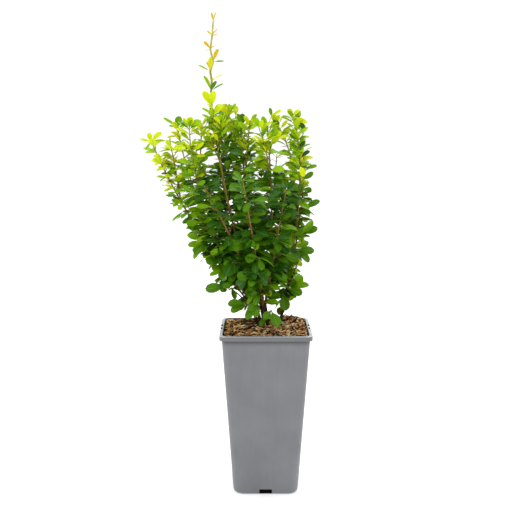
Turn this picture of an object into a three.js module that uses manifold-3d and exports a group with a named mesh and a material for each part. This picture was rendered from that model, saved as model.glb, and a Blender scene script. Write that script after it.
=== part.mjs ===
// Potted barberry: an upright young shrub of many shoots in a deep square nursery pot.
// Millimetres, +Z up. The origin is the middle of the pot's flat underside, and the front faces -Y.

import * as THREE from "three";
import { LoftGeometry } from "three/addons/geometries/LoftGeometry.js";
import { mergeVertices } from "three/addons/utils/BufferGeometryUtils.js";
import Module from "manifold-3d";

const wasm = await Module();
wasm.setup();

// Pot: a tapered square tub with a stepped rim
const POT_HEIGHT = 212;
const RIM_SIDE = 117;
const RIM_HEIGHT = 6.5;
const RIM_OVERHANG = 3;
const RIM_EDGE = 0.8;
const FOOT_SIDE = 83.5;
const FOOT_ROUNDING = 5;
const FOOT_CHAMFER = 3;
const WALL = 1.6;
const FLOOR = 4;
const RIM_CORNER = 10;
const TOP_CORNER = 8;
const FOOT_CORNER = 14;
const CORNER_STEPS = 4;
const FOOT_STEPS = 4;
const BODY_TOP = POT_HEIGHT - RIM_HEIGHT;
const BODY_TOP_SIDE = RIM_SIDE - 2 * RIM_OVERHANG;

// Cut-outs: a drain slot at the foot of each side, and two clip notches in the rim at left and right
const DRAIN_WIDTH = 16;
const DRAIN_HEIGHT = 7.5;
const DRAIN_DEPTH = 12;
const NOTCH_LENGTH = 9;
const NOTCH_DEPTH = 2.2;
const NOTCH_SPACING = 18;
const CUT_PAST = 1;

// Clear gap between neighbouring pieces, and the distance at which corners are welded into one
const GAP = 0.3;
const WELD = 1e-3;

// Potting mix: fills the pot to a low flat-topped mound
const MIX_EDGE_HEIGHT = 208;
const MIX_TOP_HEIGHT = 213;
const MIX_SHOULDER_HEIGHT = 211.5;
const MIX_SHOULDER_SHARE = 0.74;
const MIX_TOP_SHARE = 0.54;
const GROUND = MIX_TOP_HEIGHT + GAP;

// Stems: bare limbs from the ground to the fork where their leafy shoots begin
const STEM_SIDES = 6;
const STEM_FOOT_RADIUS = 2.9;
const STEM_FORK_RADIUS = 2.5;
const STEM_FLARE = 0.55;
const STEM_FLARE_HEIGHT = 5;
const STEM_BOW = 3;
const STEM_STATIONS = [0, 0.04, 0.12, 0.3, 0.55, 0.8, 1];

// Shoots: slim leafy twigs that carry on from a fork
const SHOOT_SIDES = 3;
const SHOOT_RADIUS = 1.5;
const SHOOT_TIP_RADIUS = 0.7;
const FORK_RING_RADIUS = 2.3;
const LOW_SHOOT_RADIUS = 1;
const LOW_SHOOT_RISE = 8;

// Leaves: tufts at every node along a shoot, each turned on from the last by the golden angle. On an even
// tuft that comes to what is left over from the angle between two leaves.
const NODE_SPACING = 14;
const FIRST_NODE = 7;
const TIP_SINK = 3;
const LEAVES_PER_NODE = 3;
const GOLDEN_ANGLE = Math.PI * (3 - Math.sqrt(5));
const TURN_PER_LEAF = (2 * Math.PI) / LEAVES_PER_NODE;
const TURN_PER_NODE = GOLDEN_ANGLE % TURN_PER_LEAF;
const LEAF_WIDTH_SHARE = 0.6;
const LEAF_WIDEST_AT = 0.62;
const LEAF_THICKNESS = 0.6;
const LEAF_STALK_SHARE = 0.22;
const LEAF_CLEARANCE = 0.5;
const LONGEST_LEAF = 28;
const SHORTEST_LEAF = 19;
const LEADER_LEAF = 11;
const LONGEST_LEAF_BELOW = 270;
const SHORTEST_LEAF_ABOVE = 480;
const LEADER_LEAF_ABOVE = 575;
const LEADER_ABOVE = 512;
const LIFT_LOW = THREE.MathUtils.degToRad(12);
const LIFT_HIGH = THREE.MathUtils.degToRad(40);
const LIFT_SPREAD = THREE.MathUtils.degToRad(30);
const HEADING_SPREAD = THREE.MathUtils.degToRad(40);
const ROLL_SPREAD = THREE.MathUtils.degToRad(60);
const LENGTH_SPREAD = 0.3;
const TIP_LIFT = THREE.MathUtils.degToRad(52);
const LEAF_NUDGES = [0, 0.12, -0.12, 0.24, -0.24];

// Side twigs: every few nodes on the lower part of a shoot
const TWIG_EVERY = 4;
const TWIG_OFFSET = 2;
const TWIG_BELOW = 0.66;
const TWIG_LENGTH = 26;
const TWIG_RADIUS = 0.75;
const TWIG_TIP_RADIUS = 0.6;
const TWIG_LIFT = THREE.MathUtils.degToRad(38);

// Each stem stands at its foot [x, y] and ends at its fork. Each shoot passes its bend half way to its tip.
const STEMS = [
  {
    name: "left",
    foot: [-10, 8],
    fork: [-21, 1, 245],
    shoots: [
      { name: "left_front", bend: [-75, -26, 368], tip: [-95, -24, 470] },
      { name: "far_left", bend: [-94, -8, 352], tip: [-144, -12, 452] },
      { name: "left_back", bend: [-84, 16, 368], tip: [-113, 20, 470] },
    ],
  },
  {
    name: "leader",
    foot: [-5, -2],
    fork: [-14, -6, 247],
    shoots: [
      { name: "leader", bend: [-62, -14, 455], tip: [-64, -5, 600] },
      { name: "behind_leader", bend: [-46, 20, 400], tip: [-54, 32, 480] },
    ],
  },
  {
    name: "middle",
    foot: [3, 6],
    fork: [-1, 5, 244],
    shoots: [
      { name: "middle_left", bend: [-24, 6, 380], tip: [-31, 5, 470] },
      { name: "middle_right", bend: [7, -22, 378], tip: [-9, -26, 468] },
    ],
  },
  {
    name: "right",
    foot: [20, 21],
    fork: [26, 16, 246],
    shoots: [
      { name: "right_front", bend: [43, -8, 396], tip: [32, -12, 482] },
      { name: "far_right", bend: [47, 20, 372], tip: [48, 16, 438] },
      { name: "right_back", bend: [38, 32, 396], tip: [7, 30, 483] },
    ],
  },
  {
    name: "back",
    foot: [-2, 17],
    fork: [-7, 23, 241],
    shoots: [
      { name: "back_right", bend: [8, 56, 355], tip: [16, 72, 434] },
      { name: "back_middle", bend: [-28, 62, 362], tip: [-38, 84, 442] },
      { name: "back_left", bend: [-57, 52, 352], tip: [-88, 64, 430] },
    ],
  },
  {
    name: "front",
    foot: [3, -9],
    fork: [-2, -18, 240],
    shoots: [
      { name: "front_left", bend: [-42, -53, 332], tip: [-74, -72, 398] },
      { name: "front_middle", bend: [-17, -57, 338], tip: [-28, -82, 406] },
      { name: "front_right", bend: [13, -49, 332], tip: [24, -66, 394] },
    ],
  },
];

// Short leafy shoots from the sides of the stems, each from a share of its stem's length
const LOW_SHOOTS = [
  { name: "left_edge", stem: "left", from: 0.85, tip: [-88, -6, 318] },
  { name: "right_edge", stem: "right", from: 0.85, tip: [47, -12, 312] },
  { name: "low_left", stem: "left", from: 0.5, tip: [-50, -4, 266] },
  { name: "low_front_left", stem: "leader", from: 0.55, tip: [-28, -28, 252] },
  { name: "low_front", stem: "front", from: 0.5, tip: [12, -36, 240] },
  { name: "low_right", stem: "right", from: 0.6, tip: [39, -3, 258] },
  { name: "low_back_right", stem: "right", from: 0.4, tip: [34, 44, 256] },
  { name: "low_back_left", stem: "back", from: 0.5, tip: [-34, 42, 254] },
];

// Surfaces
const GREY_PLASTIC = { color: 0x86878c, roughness: 0.55, metalness: 0 };
const BARK_MULCH = { color: 0x7a5a36, roughness: 0.95, metalness: 0 };
const BARK = { color: 0x8a5a38, roughness: 0.8, metalness: 0 };
const LEAF_GREEN = { color: 0x4d8a20, roughness: 0.5, metalness: 0 };

// Repeatable random numbers from 0 to 1
function dice(seed) {
  let state = seed >>> 0;
  return () => {
    state = (state + 0x6d2b79f5) >>> 0;
    let mixed = Math.imul(state ^ (state >>> 15), state | 1);
    mixed ^= mixed + Math.imul(mixed ^ (mixed >>> 7), mixed | 61);
    return ((mixed ^ (mixed >>> 14)) >>> 0) / 4294967296;
  };
}

// The same surface with corners that lie together made into one
function weld(geometry) {
  const bare = new THREE.BufferGeometry();
  bare.setAttribute("position", geometry.getAttribute("position"));
  bare.setIndex(geometry.getIndex());
  return mergeVertices(bare, WELD);
}

// A closed geometry as a solid that can be joined and cut
function solidOf(geometry) {
  const welded = weld(geometry);
  return new wasm.Manifold(
    new wasm.Mesh({
      numProp: 3,
      vertProperties: welded.getAttribute("position").array,
      triVerts: new Uint32Array(welded.getIndex().array),
    }),
  );
}

function geometryOf(solid) {
  const { vertProperties, triVerts } = solid.getMesh();
  const geometry = new THREE.BufferGeometry();
  geometry.setAttribute("position", new THREE.BufferAttribute(vertProperties, 3));
  geometry.setIndex(new THREE.BufferAttribute(triVerts, 1));
  return geometry;
}

function meshOf(solid, name, surface) {
  const geometry = geometryOf(solid);
  geometry.computeVertexNormals();
  const mesh = new THREE.Mesh(geometry, new THREE.MeshStandardMaterial(surface));
  mesh.name = name;
  return mesh;
}

function loft(sections) {
  return solidOf(new LoftGeometry(sections, { capStart: true, capEnd: true }));
}

function block(width, depth, height, x, y, z) {
  return solidOf(new THREE.BoxGeometry(width, depth, height).translate(x, y, z));
}

// A level square ring with round corners
function squareRing(side, corner, z) {
  const points = [];
  const inset = side / 2 - corner;
  for (let quarter = 0; quarter < 4; quarter++) {
    const middle = Math.PI / 4 + (quarter * Math.PI) / 2;
    const cornerX = inset * Math.sign(Math.cos(middle));
    const cornerY = inset * Math.sign(Math.sin(middle));
    for (let step = 0; step <= CORNER_STEPS; step++) {
      const angle = middle + (Math.PI / 2) * (step / CORNER_STEPS - 0.5);
      points.push(
        new THREE.Vector3(cornerX + corner * Math.cos(angle), cornerY + corner * Math.sin(angle), z),
      );
    }
  }
  return points;
}

// The ring of the pot's outer skin at a height, drawn in by an inset on every side
function bodyRing(z, inset) {
  const share = z / BODY_TOP;
  const side = THREE.MathUtils.lerp(FOOT_SIDE, BODY_TOP_SIDE, share);
  const corner = THREE.MathUtils.lerp(FOOT_CORNER, TOP_CORNER, share);
  return squareRing(side - 2 * inset, corner - inset, z);
}

function makePot() {
  const sections = [];
  for (let step = 0; step <= FOOT_STEPS; step++) {
    const turn = ((Math.PI / 2) * step) / FOOT_STEPS;
    sections.push(bodyRing(FOOT_ROUNDING * (1 - Math.cos(turn)), FOOT_ROUNDING * (1 - Math.sin(turn))));
  }
  sections.push(bodyRing(BODY_TOP, 0));
  sections.push(squareRing(RIM_SIDE, RIM_CORNER, BODY_TOP));
  sections.push(squareRing(RIM_SIDE, RIM_CORNER, POT_HEIGHT - RIM_EDGE));
  sections.push(squareRing(RIM_SIDE - 2 * RIM_EDGE, RIM_CORNER - RIM_EDGE, POT_HEIGHT));
  let pot = loft(sections);
  pot = pot.subtract(
    loft([
      bodyRing(FLOOR, WALL + FOOT_CHAMFER),
      bodyRing(FLOOR + FOOT_CHAMFER, WALL),
      bodyRing(POT_HEIGHT + CUT_PAST, WALL),
    ]),
  );

  const drainReach = DRAIN_DEPTH + CUT_PAST;
  const drainMiddle = FOOT_SIDE / 2 + CUT_PAST - drainReach / 2;
  const drainHeight = DRAIN_HEIGHT + CUT_PAST;
  const drainZ = (DRAIN_HEIGHT - CUT_PAST) / 2;
  const notchReach = NOTCH_DEPTH + CUT_PAST;
  const notchMiddle = RIM_SIDE / 2 + CUT_PAST - notchReach / 2;
  const notchHeight = RIM_HEIGHT + 2 * CUT_PAST;
  const notchZ = POT_HEIGHT - RIM_HEIGHT / 2;
  for (const side of [-1, 1]) {
    pot = pot.subtract(block(DRAIN_WIDTH, drainReach, drainHeight, 0, side * drainMiddle, drainZ));
    pot = pot.subtract(block(drainReach, DRAIN_WIDTH, drainHeight, side * drainMiddle, 0, drainZ));
    for (const along of [-NOTCH_SPACING / 2, NOTCH_SPACING / 2]) {
      pot = pot.subtract(block(notchReach, NOTCH_LENGTH, notchHeight, side * notchMiddle, along, notchZ));
    }
  }
  return pot;
}

function makePottingMix() {
  const inset = WALL + GAP;
  const shrunk = (share, z) => bodyRing(MIX_EDGE_HEIGHT, inset).map((p) => p.multiplyScalar(share).setZ(z));
  return loft([
    bodyRing(FLOOR + GAP, inset + FOOT_CHAMFER),
    bodyRing(FLOOR + GAP + FOOT_CHAMFER, inset),
    bodyRing(MIX_EDGE_HEIGHT, inset),
    shrunk(MIX_SHOULDER_SHARE, MIX_SHOULDER_HEIGHT),
    shrunk(MIX_TOP_SHARE, MIX_TOP_HEIGHT),
  ]);
}

// The direction straight out from a limb at an angle round it, counted from the side that faces +X
function outwardFrom(direction, angle) {
  return new THREE.Vector3(1, 0, 0).projectOnPlane(direction).normalize().applyAxisAngle(direction, angle);
}

// A ring of points round a limb, square to its direction
function limbRing(middle, direction, radius, sides, twist) {
  const points = [];
  for (let i = 0; i < sides; i++) {
    const outward = outwardFrom(direction, twist + (2 * Math.PI * i) / sides);
    points.push(middle.clone().addScaledVector(outward, radius));
  }
  return points;
}

// A curve that starts and ends at two points and passes the bend half way
function bowedCurve(start, bend, end) {
  const pull = bend.clone().multiplyScalar(2).addScaledVector(start, -0.5).addScaledVector(end, -0.5);
  return new THREE.QuadraticBezierCurve3(start, pull, end);
}

function stemCurve(stem) {
  const foot = new THREE.Vector3(...stem.foot, GROUND);
  const fork = new THREE.Vector3(...stem.fork);
  const bend = foot.clone().lerp(fork, 0.5);
  bend.z += STEM_BOW / 2;
  return bowedCurve(foot, bend, fork);
}

function stemRadius(share, length) {
  const flare = STEM_FLARE * Math.exp((-share * length) / STEM_FLARE_HEIGHT);
  return THREE.MathUtils.lerp(STEM_FOOT_RADIUS, STEM_FORK_RADIUS, share) * (1 + flare);
}

function makeStem(curve) {
  const length = curve.getLength();
  const up = new THREE.Vector3(0, 0, 1);
  return loft(
    STEM_STATIONS.map((share) =>
      limbRing(
        curve.getPoint(share),
        share === 0 ? up : curve.getTangent(share),
        stemRadius(share, length),
        STEM_SIDES,
        0,
      ),
    ),
  );
}

// A slim three-sided twig along a curve, with rings half way between nodes. It twists, so that each leaf of
// a tuft stands in the middle of a side.
function makeTwig(curve, startRadius, endRadius, heading) {
  const length = curve.getLength();
  const halfway = NODE_SPACING / 2;
  const places = [0];
  for (let at = FIRST_NODE + halfway; at < length - halfway; at += NODE_SPACING) {
    places.push(at);
  }
  places.push(length);
  return loft(
    places.map((at) => {
      const share = at / length;
      const radius = THREE.MathUtils.lerp(startRadius, endRadius, share);
      const twist = headingAt(at, heading) + Math.PI / SHOOT_SIDES;
      return limbRing(curve.getPoint(share), curve.getTangent(share), radius, SHOOT_SIDES, twist);
    }),
  );
}

// The heading of a tuft's first leaf at a distance along a shoot
function headingAt(distance, heading) {
  return heading + ((distance - FIRST_NODE) / NODE_SPACING) * TURN_PER_NODE;
}

// The shoots of one stem start side by side on its end face, in the order in which they fan out
function shootCurves(stem, curve) {
  const fork = curve.getPoint(1);
  const direction = curve.getTangent(1);
  const count = stem.shoots.length;
  const fan = (fanSense(stem, fork) * 2 * Math.PI) / Math.max(count, 3);
  const spread = new THREE.Vector3();
  stem.shoots.forEach((shoot) => spread.add(new THREE.Vector3(...shoot.bend).sub(fork)));
  const facing = Math.atan2(spread.y, spread.x);
  return stem.shoots.map((shoot, i) => {
    const bend = new THREE.Vector3(...shoot.bend);
    const tip = new THREE.Vector3(...shoot.tip);
    const turn = facing + fan * (i - (count - 1) / 2);
    const start = new THREE.Vector3(Math.cos(turn), Math.sin(turn), 0).projectOnPlane(direction).normalize();
    start.multiplyScalar(FORK_RING_RADIUS).add(fork).addScaledVector(direction, GAP);
    return bowedCurve(start, bend, tip);
  });
}

// +1 where the stem's list of shoots turns anticlockwise seen from above, and -1 where it turns clockwise
function fanSense(stem, fork) {
  const first = new THREE.Vector3(...stem.shoots[0].bend).sub(fork);
  const last = new THREE.Vector3(...stem.shoots[stem.shoots.length - 1].bend).sub(fork);
  return Math.sign(first.x * last.y - first.y * last.x);
}

function lowShootCurve(shoot, curve) {
  const tip = new THREE.Vector3(...shoot.tip);
  const root = curve.getPoint(shoot.from);
  const direction = curve.getTangent(shoot.from);
  const reach = tip.clone().sub(root).normalize();
  const outward = reach.clone().projectOnPlane(direction).normalize();
  const standOff = GAP + LOW_SHOOT_RADIUS * Math.abs(reach.dot(direction));
  const start = root.addScaledVector(outward, stemRadius(shoot.from, curve.getLength()) + standOff);
  const bend = start.clone().lerp(tip, 0.5);
  bend.z += LOW_SHOOT_RISE / 2;
  return bowedCurve(start, bend, tip);
}

// A leaf along +X, widest beyond the middle: four faces, folded down both ways from its midrib. It starts at
// the origin where it is whole, or further along where only its blade is wanted.
function leafGeometry(start, length, width, thickness) {
  const geometry = new THREE.TetrahedronGeometry(1).rotateZ(-Math.PI / 4);
  const position = geometry.getAttribute("position");
  for (let i = 0; i < position.count; i++) {
    const end = Math.round(position.getX(i));
    const side = Math.round(position.getY(i));
    const along = { "-1": start, 0: LEAF_WIDEST_AT * length, 1: length }[end];
    position.setXYZ(i, along, (side * width) / 2, (Math.sign(position.getZ(i)) * thickness) / 2);
  }
  return geometry;
}

// Where a leaf sits: its root on the twig's middle line, pointing out along a heading and lifted from level
function leafPlace(root, direction, heading, lift, roll) {
  const outward = outwardFrom(direction, heading);
  const along = outward.clone().multiplyScalar(Math.cos(lift)).addScaledVector(direction, Math.sin(lift));
  const upper = direction.clone().multiplyScalar(Math.cos(lift)).addScaledVector(outward, -Math.sin(lift));
  upper.applyAxisAngle(along, roll);
  return new THREE.Matrix4().makeBasis(along, upper.clone().cross(along), upper).setPosition(root);
}

function leafLength(z) {
  const { clamp, mapLinear } = THREE.MathUtils;
  const [low, high] = [LONGEST_LEAF_BELOW, SHORTEST_LEAF_ABOVE];
  if (z < high) return mapLinear(clamp(z, low, high), low, high, LONGEST_LEAF, SHORTEST_LEAF);
  return mapLinear(clamp(z, high, LEADER_LEAF_ABOVE), high, LEADER_LEAF_ABOVE, SHORTEST_LEAF, LEADER_LEAF);
}

// One tuft: leaves spread evenly round a twig, with seeded variation in heading, lift and roll
function tuft(root, direction, heading, lift, count, roll) {
  const leaves = [];
  for (let i = 0; i < count; i++) {
    const turn = heading + i * TURN_PER_LEAF + (roll() - 0.5) * HEADING_SPREAD;
    const rise = lift + (roll() - 0.5) * LIFT_SPREAD;
    const tilt = (roll() - 0.5) * ROLL_SPREAD;
    const length = leafLength(root.z) * (1 + (roll() - 0.5) * LENGTH_SPREAD);
    leaves.push({ root, direction, turn, rise, tilt, length });
  }
  return leaves;
}

// The seeded rule of one shoot: a tuft at every node and tip, and a side twig in place of a leaf at some
function growShoot(curve, firstHeading, seed) {
  const roll = dice(seed);
  const length = curve.getLength();
  const leaves = [];
  const twigs = [];
  const nodes = Math.floor((length - FIRST_NODE) / NODE_SPACING);
  for (let node = 0; node < nodes; node++) {
    const distance = FIRST_NODE + node * NODE_SPACING;
    const share = distance / length;
    const root = curve.getPoint(share);
    const direction = curve.getTangent(share);
    const heading = headingAt(distance, firstHeading);
    const lift = THREE.MathUtils.lerp(LIFT_LOW, LIFT_HIGH, share);
    const hasTwig = node % TWIG_EVERY === TWIG_OFFSET && share < TWIG_BELOW;
    const isSparse = hasTwig || root.z > LEADER_ABOVE;
    leaves.push(...tuft(root, direction, heading, lift, LEAVES_PER_NODE - (isSparse ? 1 : 0), roll));
    if (!hasTwig) continue;
    const twigHeading = heading - TURN_PER_LEAF;
    const outward = outwardFrom(direction, twigHeading);
    const reach = TWIG_LENGTH * (1 - share);
    const end = root.clone().addScaledVector(outward, reach * Math.cos(TWIG_LIFT));
    end.addScaledVector(direction, reach * Math.sin(TWIG_LIFT));
    const twig = new THREE.LineCurve3(root, end);
    const tip = twig.getPoint(1 - TIP_SINK / reach);
    const tipHeading = headingAt(reach, twigHeading);
    twigs.push({
      curve: twig,
      heading: twigHeading,
      leaves: tuft(tip, twig.getTangent(1), tipHeading, LIFT_HIGH, LEAVES_PER_NODE, roll),
    });
  }
  const tip = curve.getPoint(1 - TIP_SINK / length);
  const tipHeading = headingAt(length, firstHeading);
  leaves.push(...tuft(tip, curve.getTangent(1), tipHeading, TIP_LIFT, LEAVES_PER_NODE, roll));
  return { leaves, twigs };
}

// The solids laid so far. What is added to a mass must be clear of what others hold.
class Spaces {
  constructor() {
    this.held = [];
  }

  add(owner, kind, solid) {
    this.held.push({ owner, kind, solid, box: solid.boundingBox() });
  }

  isClear(solid, counts) {
    const { min, max } = solid.boundingBox();
    const near = ({ box }) => [0, 1, 2].every((i) => box.min[i] <= max[i] && box.max[i] >= min[i]);
    return this.held
      .filter((piece) => counts(piece) && near(piece))
      .every((piece) => piece.solid.intersect(solid).isEmpty());
  }
}

function largestBody(solid) {
  return solid.decompose().reduce((best, body) => (body.volume() > best.volume() ? body : best));
}

// Joins two pieces into one body: hollows that the joining seals are filled, and loose scraps are dropped
function fuse(body, piece) {
  const joined = largestBody(body.add(piece));
  return largestBody(solidOf(geometryOf(joined)));
}

// True where every edge of the surface is shared by exactly two faces
function isSound(solid) {
  const index = weld(geometryOf(solid)).getIndex().array;
  const shares = new Map();
  for (let i = 0; i < index.length; i += 3) {
    const corners = [index[i], index[i + 1], index[i + 2]];
    if (new Set(corners).size < 3) continue;
    corners.forEach((corner, k) => {
      const next = corners[(k + 1) % 3];
      const edge = `${Math.min(corner, next)} ${Math.max(corner, next)}`;
      shares.set(edge, (shares.get(edge) ?? 0) + 1);
    });
  }
  return [...shares.values()].every((count) => count === 2);
}

// Joins a leaf to its shoot. It is turned a little where it lacks room or joins badly, and else skipped.
function joinLeaf(owner, body, leaf, spaces) {
  const width = leaf.length * LEAF_WIDTH_SHARE;
  const room = 2 * LEAF_CLEARANCE;
  const shape = (start, margin) => leafGeometry(start, leaf.length, width + margin, LEAF_THICKNESS + margin);
  for (const nudge of LEAF_NUDGES) {
    const place = leafPlace(leaf.root, leaf.direction, leaf.turn + nudge, leaf.rise, leaf.tilt);
    const solidAt = (geometry) => solidOf(geometry.applyMatrix4(place));
    if (!spaces.isClear(solidAt(shape(0, room)), (piece) => piece.owner !== owner)) continue;
    const blade = solidAt(shape(LEAF_STALK_SHARE * leaf.length, room));
    if (!spaces.isClear(blade, (piece) => piece.owner === owner && piece.kind === "leaf")) continue;
    const solid = solidAt(shape(0, 0));
    const joined = fuse(body, solid);
    if (!isSound(joined)) continue;
    spaces.add(owner, "leaf", solid);
    return joined;
  }
  return body;
}

// Grows all shoots side by side: first every twig, and then the leaves that still have room
function makeFoliage(shoots, spaces) {
  for (const shoot of shoots) {
    shoot.body = makeTwig(shoot.curve, shoot.radius, SHOOT_TIP_RADIUS, shoot.seed);
    shoot.growth = growShoot(shoot.curve, shoot.seed, shoot.seed);
    spaces.add(shoot.name, "twig", shoot.body);
  }
  for (const shoot of shoots) {
    for (const twig of shoot.growth.twigs) {
      const roomy = makeTwig(twig.curve, 2 * TWIG_RADIUS, 2 * TWIG_RADIUS, twig.heading);
      if (!spaces.isClear(roomy, (piece) => piece.owner !== shoot.name)) continue;
      const solid = makeTwig(twig.curve, TWIG_RADIUS, TWIG_TIP_RADIUS, twig.heading);
      spaces.add(shoot.name, "twig", solid);
      shoot.body = fuse(shoot.body, solid);
      shoot.growth.leaves.push(...twig.leaves);
    }
  }
  for (const shoot of shoots) {
    for (const leaf of shoot.growth.leaves) {
      shoot.body = joinLeaf(shoot.name, shoot.body, leaf, spaces);
    }
  }
}

function makePlant() {
  const spaces = new Spaces();
  const pot = makePot();
  const mix = makePottingMix();
  spaces.add("pot", "ground", pot);
  spaces.add("potting_mix", "ground", mix);
  const plant = new THREE.Group();
  plant.add(meshOf(pot, "pot", GREY_PLASTIC), meshOf(mix, "potting_mix", BARK_MULCH));

  const curves = {};
  const clumps = {};
  const shoots = [];
  for (const stem of STEMS) {
    const curve = stemCurve(stem);
    const solid = makeStem(curve);
    spaces.add(stem.name, "stem", solid);
    curves[stem.name] = curve;
    clumps[stem.name] = new THREE.Group().add(meshOf(solid, `stem_${stem.name}`, BARK));
    shootCurves(stem, curve).forEach((shootCurve, i) => {
      const name = `foliage_${stem.shoots[i].name}`;
      shoots.push({ name, stem: stem.name, curve: shootCurve, radius: SHOOT_RADIUS });
    });
  }
  for (const low of LOW_SHOOTS) {
    const curve = lowShootCurve(low, curves[low.stem]);
    shoots.push({ name: `foliage_${low.name}`, stem: low.stem, curve, radius: LOW_SHOOT_RADIUS });
  }
  shoots.forEach((shoot, i) => {
    shoot.seed = i + 1;
  });
  makeFoliage(shoots, spaces);
  for (const shoot of shoots) clumps[shoot.stem].add(meshOf(shoot.body, shoot.name, LEAF_GREEN));
  return plant.add(...Object.values(clumps));
}

export default makePlant();
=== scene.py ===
# Potted barberry: the looks of an upright young shrub in a deep square nursery pot.
# Metres, +Z up, front towards -Y, origin in the middle of the pot's underside.
# Sizes are given in millimetres, as in the solids, and are brought to metres by MM. The stage is in metres.

import math
import random

import bmesh
import bpy
import numpy as np
from mathutils import Matrix, Vector


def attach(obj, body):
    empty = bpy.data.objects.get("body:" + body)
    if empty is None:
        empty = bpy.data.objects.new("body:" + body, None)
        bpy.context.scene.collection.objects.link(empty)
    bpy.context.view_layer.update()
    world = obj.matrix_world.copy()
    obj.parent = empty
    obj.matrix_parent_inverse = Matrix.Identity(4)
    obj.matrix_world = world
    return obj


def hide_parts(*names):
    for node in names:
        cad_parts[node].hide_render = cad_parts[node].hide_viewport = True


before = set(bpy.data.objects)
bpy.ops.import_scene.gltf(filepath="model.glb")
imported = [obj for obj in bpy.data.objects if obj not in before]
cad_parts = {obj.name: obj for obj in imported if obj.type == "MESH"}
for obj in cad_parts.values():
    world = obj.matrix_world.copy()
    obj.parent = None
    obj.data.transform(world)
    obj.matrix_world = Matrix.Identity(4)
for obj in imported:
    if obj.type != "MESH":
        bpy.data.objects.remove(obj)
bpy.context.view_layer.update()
MM = 0.001

# Camera at the photograph's place and angle
CAMERA_PLACE = (-13.7, -1098.25, 454.1)
CAMERA_PITCH = math.asin(0.1335)
CAMERA_LENS = 60.7
SENSOR_WIDTH = 36
CLIP_START = 50

# Pot
POT_HEIGHT = 212
RIM_SIDE = 117
RIM_HEIGHT = 6.5
RIM_OVERHANG = 3
RIM_EDGE = 0.8
FOOT_SIDE = 83.5
FOOT_ROUNDING = 5
FOOT_CHAMFER = 3
FOOT_STEPS = 5
WALL = 1.6
FLOOR = 4
RIM_CORNER = 10
TOP_CORNER = 8
FOOT_CORNER = 14
CORNER_SEGMENTS = 8
BODY_TOP = POT_HEIGHT - RIM_HEIGHT
BODY_TOP_SIDE = RIM_SIDE - 2 * RIM_OVERHANG
UNDERSIDE_INSET = 7.5
UNDERSIDE_HOLLOW = 2.4
# How far down from the rim the painted shade under the rim reaches
UNDER_RIM_SHADE_REACH = 9
# Where the rim's left and right bars lie across x, which get a stronger painted highlight
SIDE_BAR = (49, 53)
DRAIN_WIDTH = 16
DRAIN_HEIGHT = 7.5
DRAIN_DEPTH = 12
DRAIN_SILL = 0.4
NOTCH_LENGTH = 9
NOTCH_DEPTH = 3
NOTCH_SPACING = 18
CUT_PAST = 1
EDGE_SOFTENING = 0.35
EDGE_SEGMENTS = 2
EDGE_ANGLE = 35
BODY_RINGS = (0.3, 0.6, 0.9, 1.0)
ON_RING = 0.02

# Mulch: a bed of fine bark over the mix, with a heap, a dip and a patch of painted shade, and chips strewn
# over it.
# The height of the shade patch is the share of its darker chips in its middle; those darker chips are
# painted shade
GAP = 0.3
GROUND = 213.3
BED_EDGE_HEIGHT = 208.5
BED_TOP_HEIGHT = 212.6
BED_SHOULDER = 26
BED_ROUGHNESS = 1.1
BED_SMOOTH_EDGE = 0.5
BED_DIVISIONS = 56
BED_SEED = 5
HEAP = {"place": (33, 36), "reach": 20, "height": 3.6}
DIP = {"place": (-34, 32), "reach": 22, "height": -1.6}
SHADE_PATCH = {"place": (-20, 24), "reach": 34, "height": 0.85}
CHIP_COUNT = 2400
CHIP_SEED = 11
CHIP_OUTLINE = ((-0.5, -0.12), (-0.22, -0.5), (0.28, -0.38), (0.5, 0.08), (0.2, 0.46), (-0.34, 0.5))
CHIP_UNEVENNESS = 0.2
CHIP_LENGTHS = (3.5, 20.0)
CHIP_LENGTH_POWER = 2.4
CHIP_WIDTH_SHARES = (0.09, 0.24)
CHIP_WIDTH_LEAST = 0.8
CHIP_THICKNESS = (0.3, 0.8)
CHIP_TOP_SHARE = 0.88
CHIP_BOWS = (-0.02, 0.03)
CHIP_TILT = math.radians(28)
CHIP_TILT_SHARES = {"Y": 0.6, "X": 1.0}
CHIP_LIFT = (-0.2, 2.2)
CHIP_EDGE_GAP = 0.4

# Stems and shoots, from the same rule as the solids
CURVE_STEPS = 200
STEM_FOOT_RADIUS = 2.0
STEM_FORK_RADIUS = 1.7
STEM_FLARE = 0.35
STEM_FLARE_HEIGHT = 5
STEM_BOW = 3
STEM_ROOTED = 6
STEM_ROOT_SWELL = 1.1
STEM_SEED = 1000
LOW_SEEDS_PER_MM = 100
SHOOT_RADIUS = 1.15
SHOOT_TIP_RADIUS = 0.5
LEADER_RADIUS = 1.4
LEADER_TIP_RADIUS = 1.2
SHOOT_SUNK = 7
FORK_RING_RADIUS = 1.5
FORK_PLACES = 3
LOW_SHOOT_RADIUS = 1
SIDE_SHOOT_RISE = 8
TWIG_RADIUS = 0.7
TWIG_TIP_RADIUS = 0.4
NODE_SWELL = 0.35
NODE_SWELL_REACH = 1.6
STEM_RING_SPACING = 1.2
RING_SPACING = 2.4
SHOOT_RINGS_LEAST = 6
TWIG_RINGS_LEAST = 4
STEM_SIDES = 12
SHOOT_SIDES = 8
TWIG_SIDES = 6
STEM_RELIEF = 0.12
SHOOT_RELIEF = 0.1
RIDGE_CHANGE = 0.2
RING_RELIEF = 0.5

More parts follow.
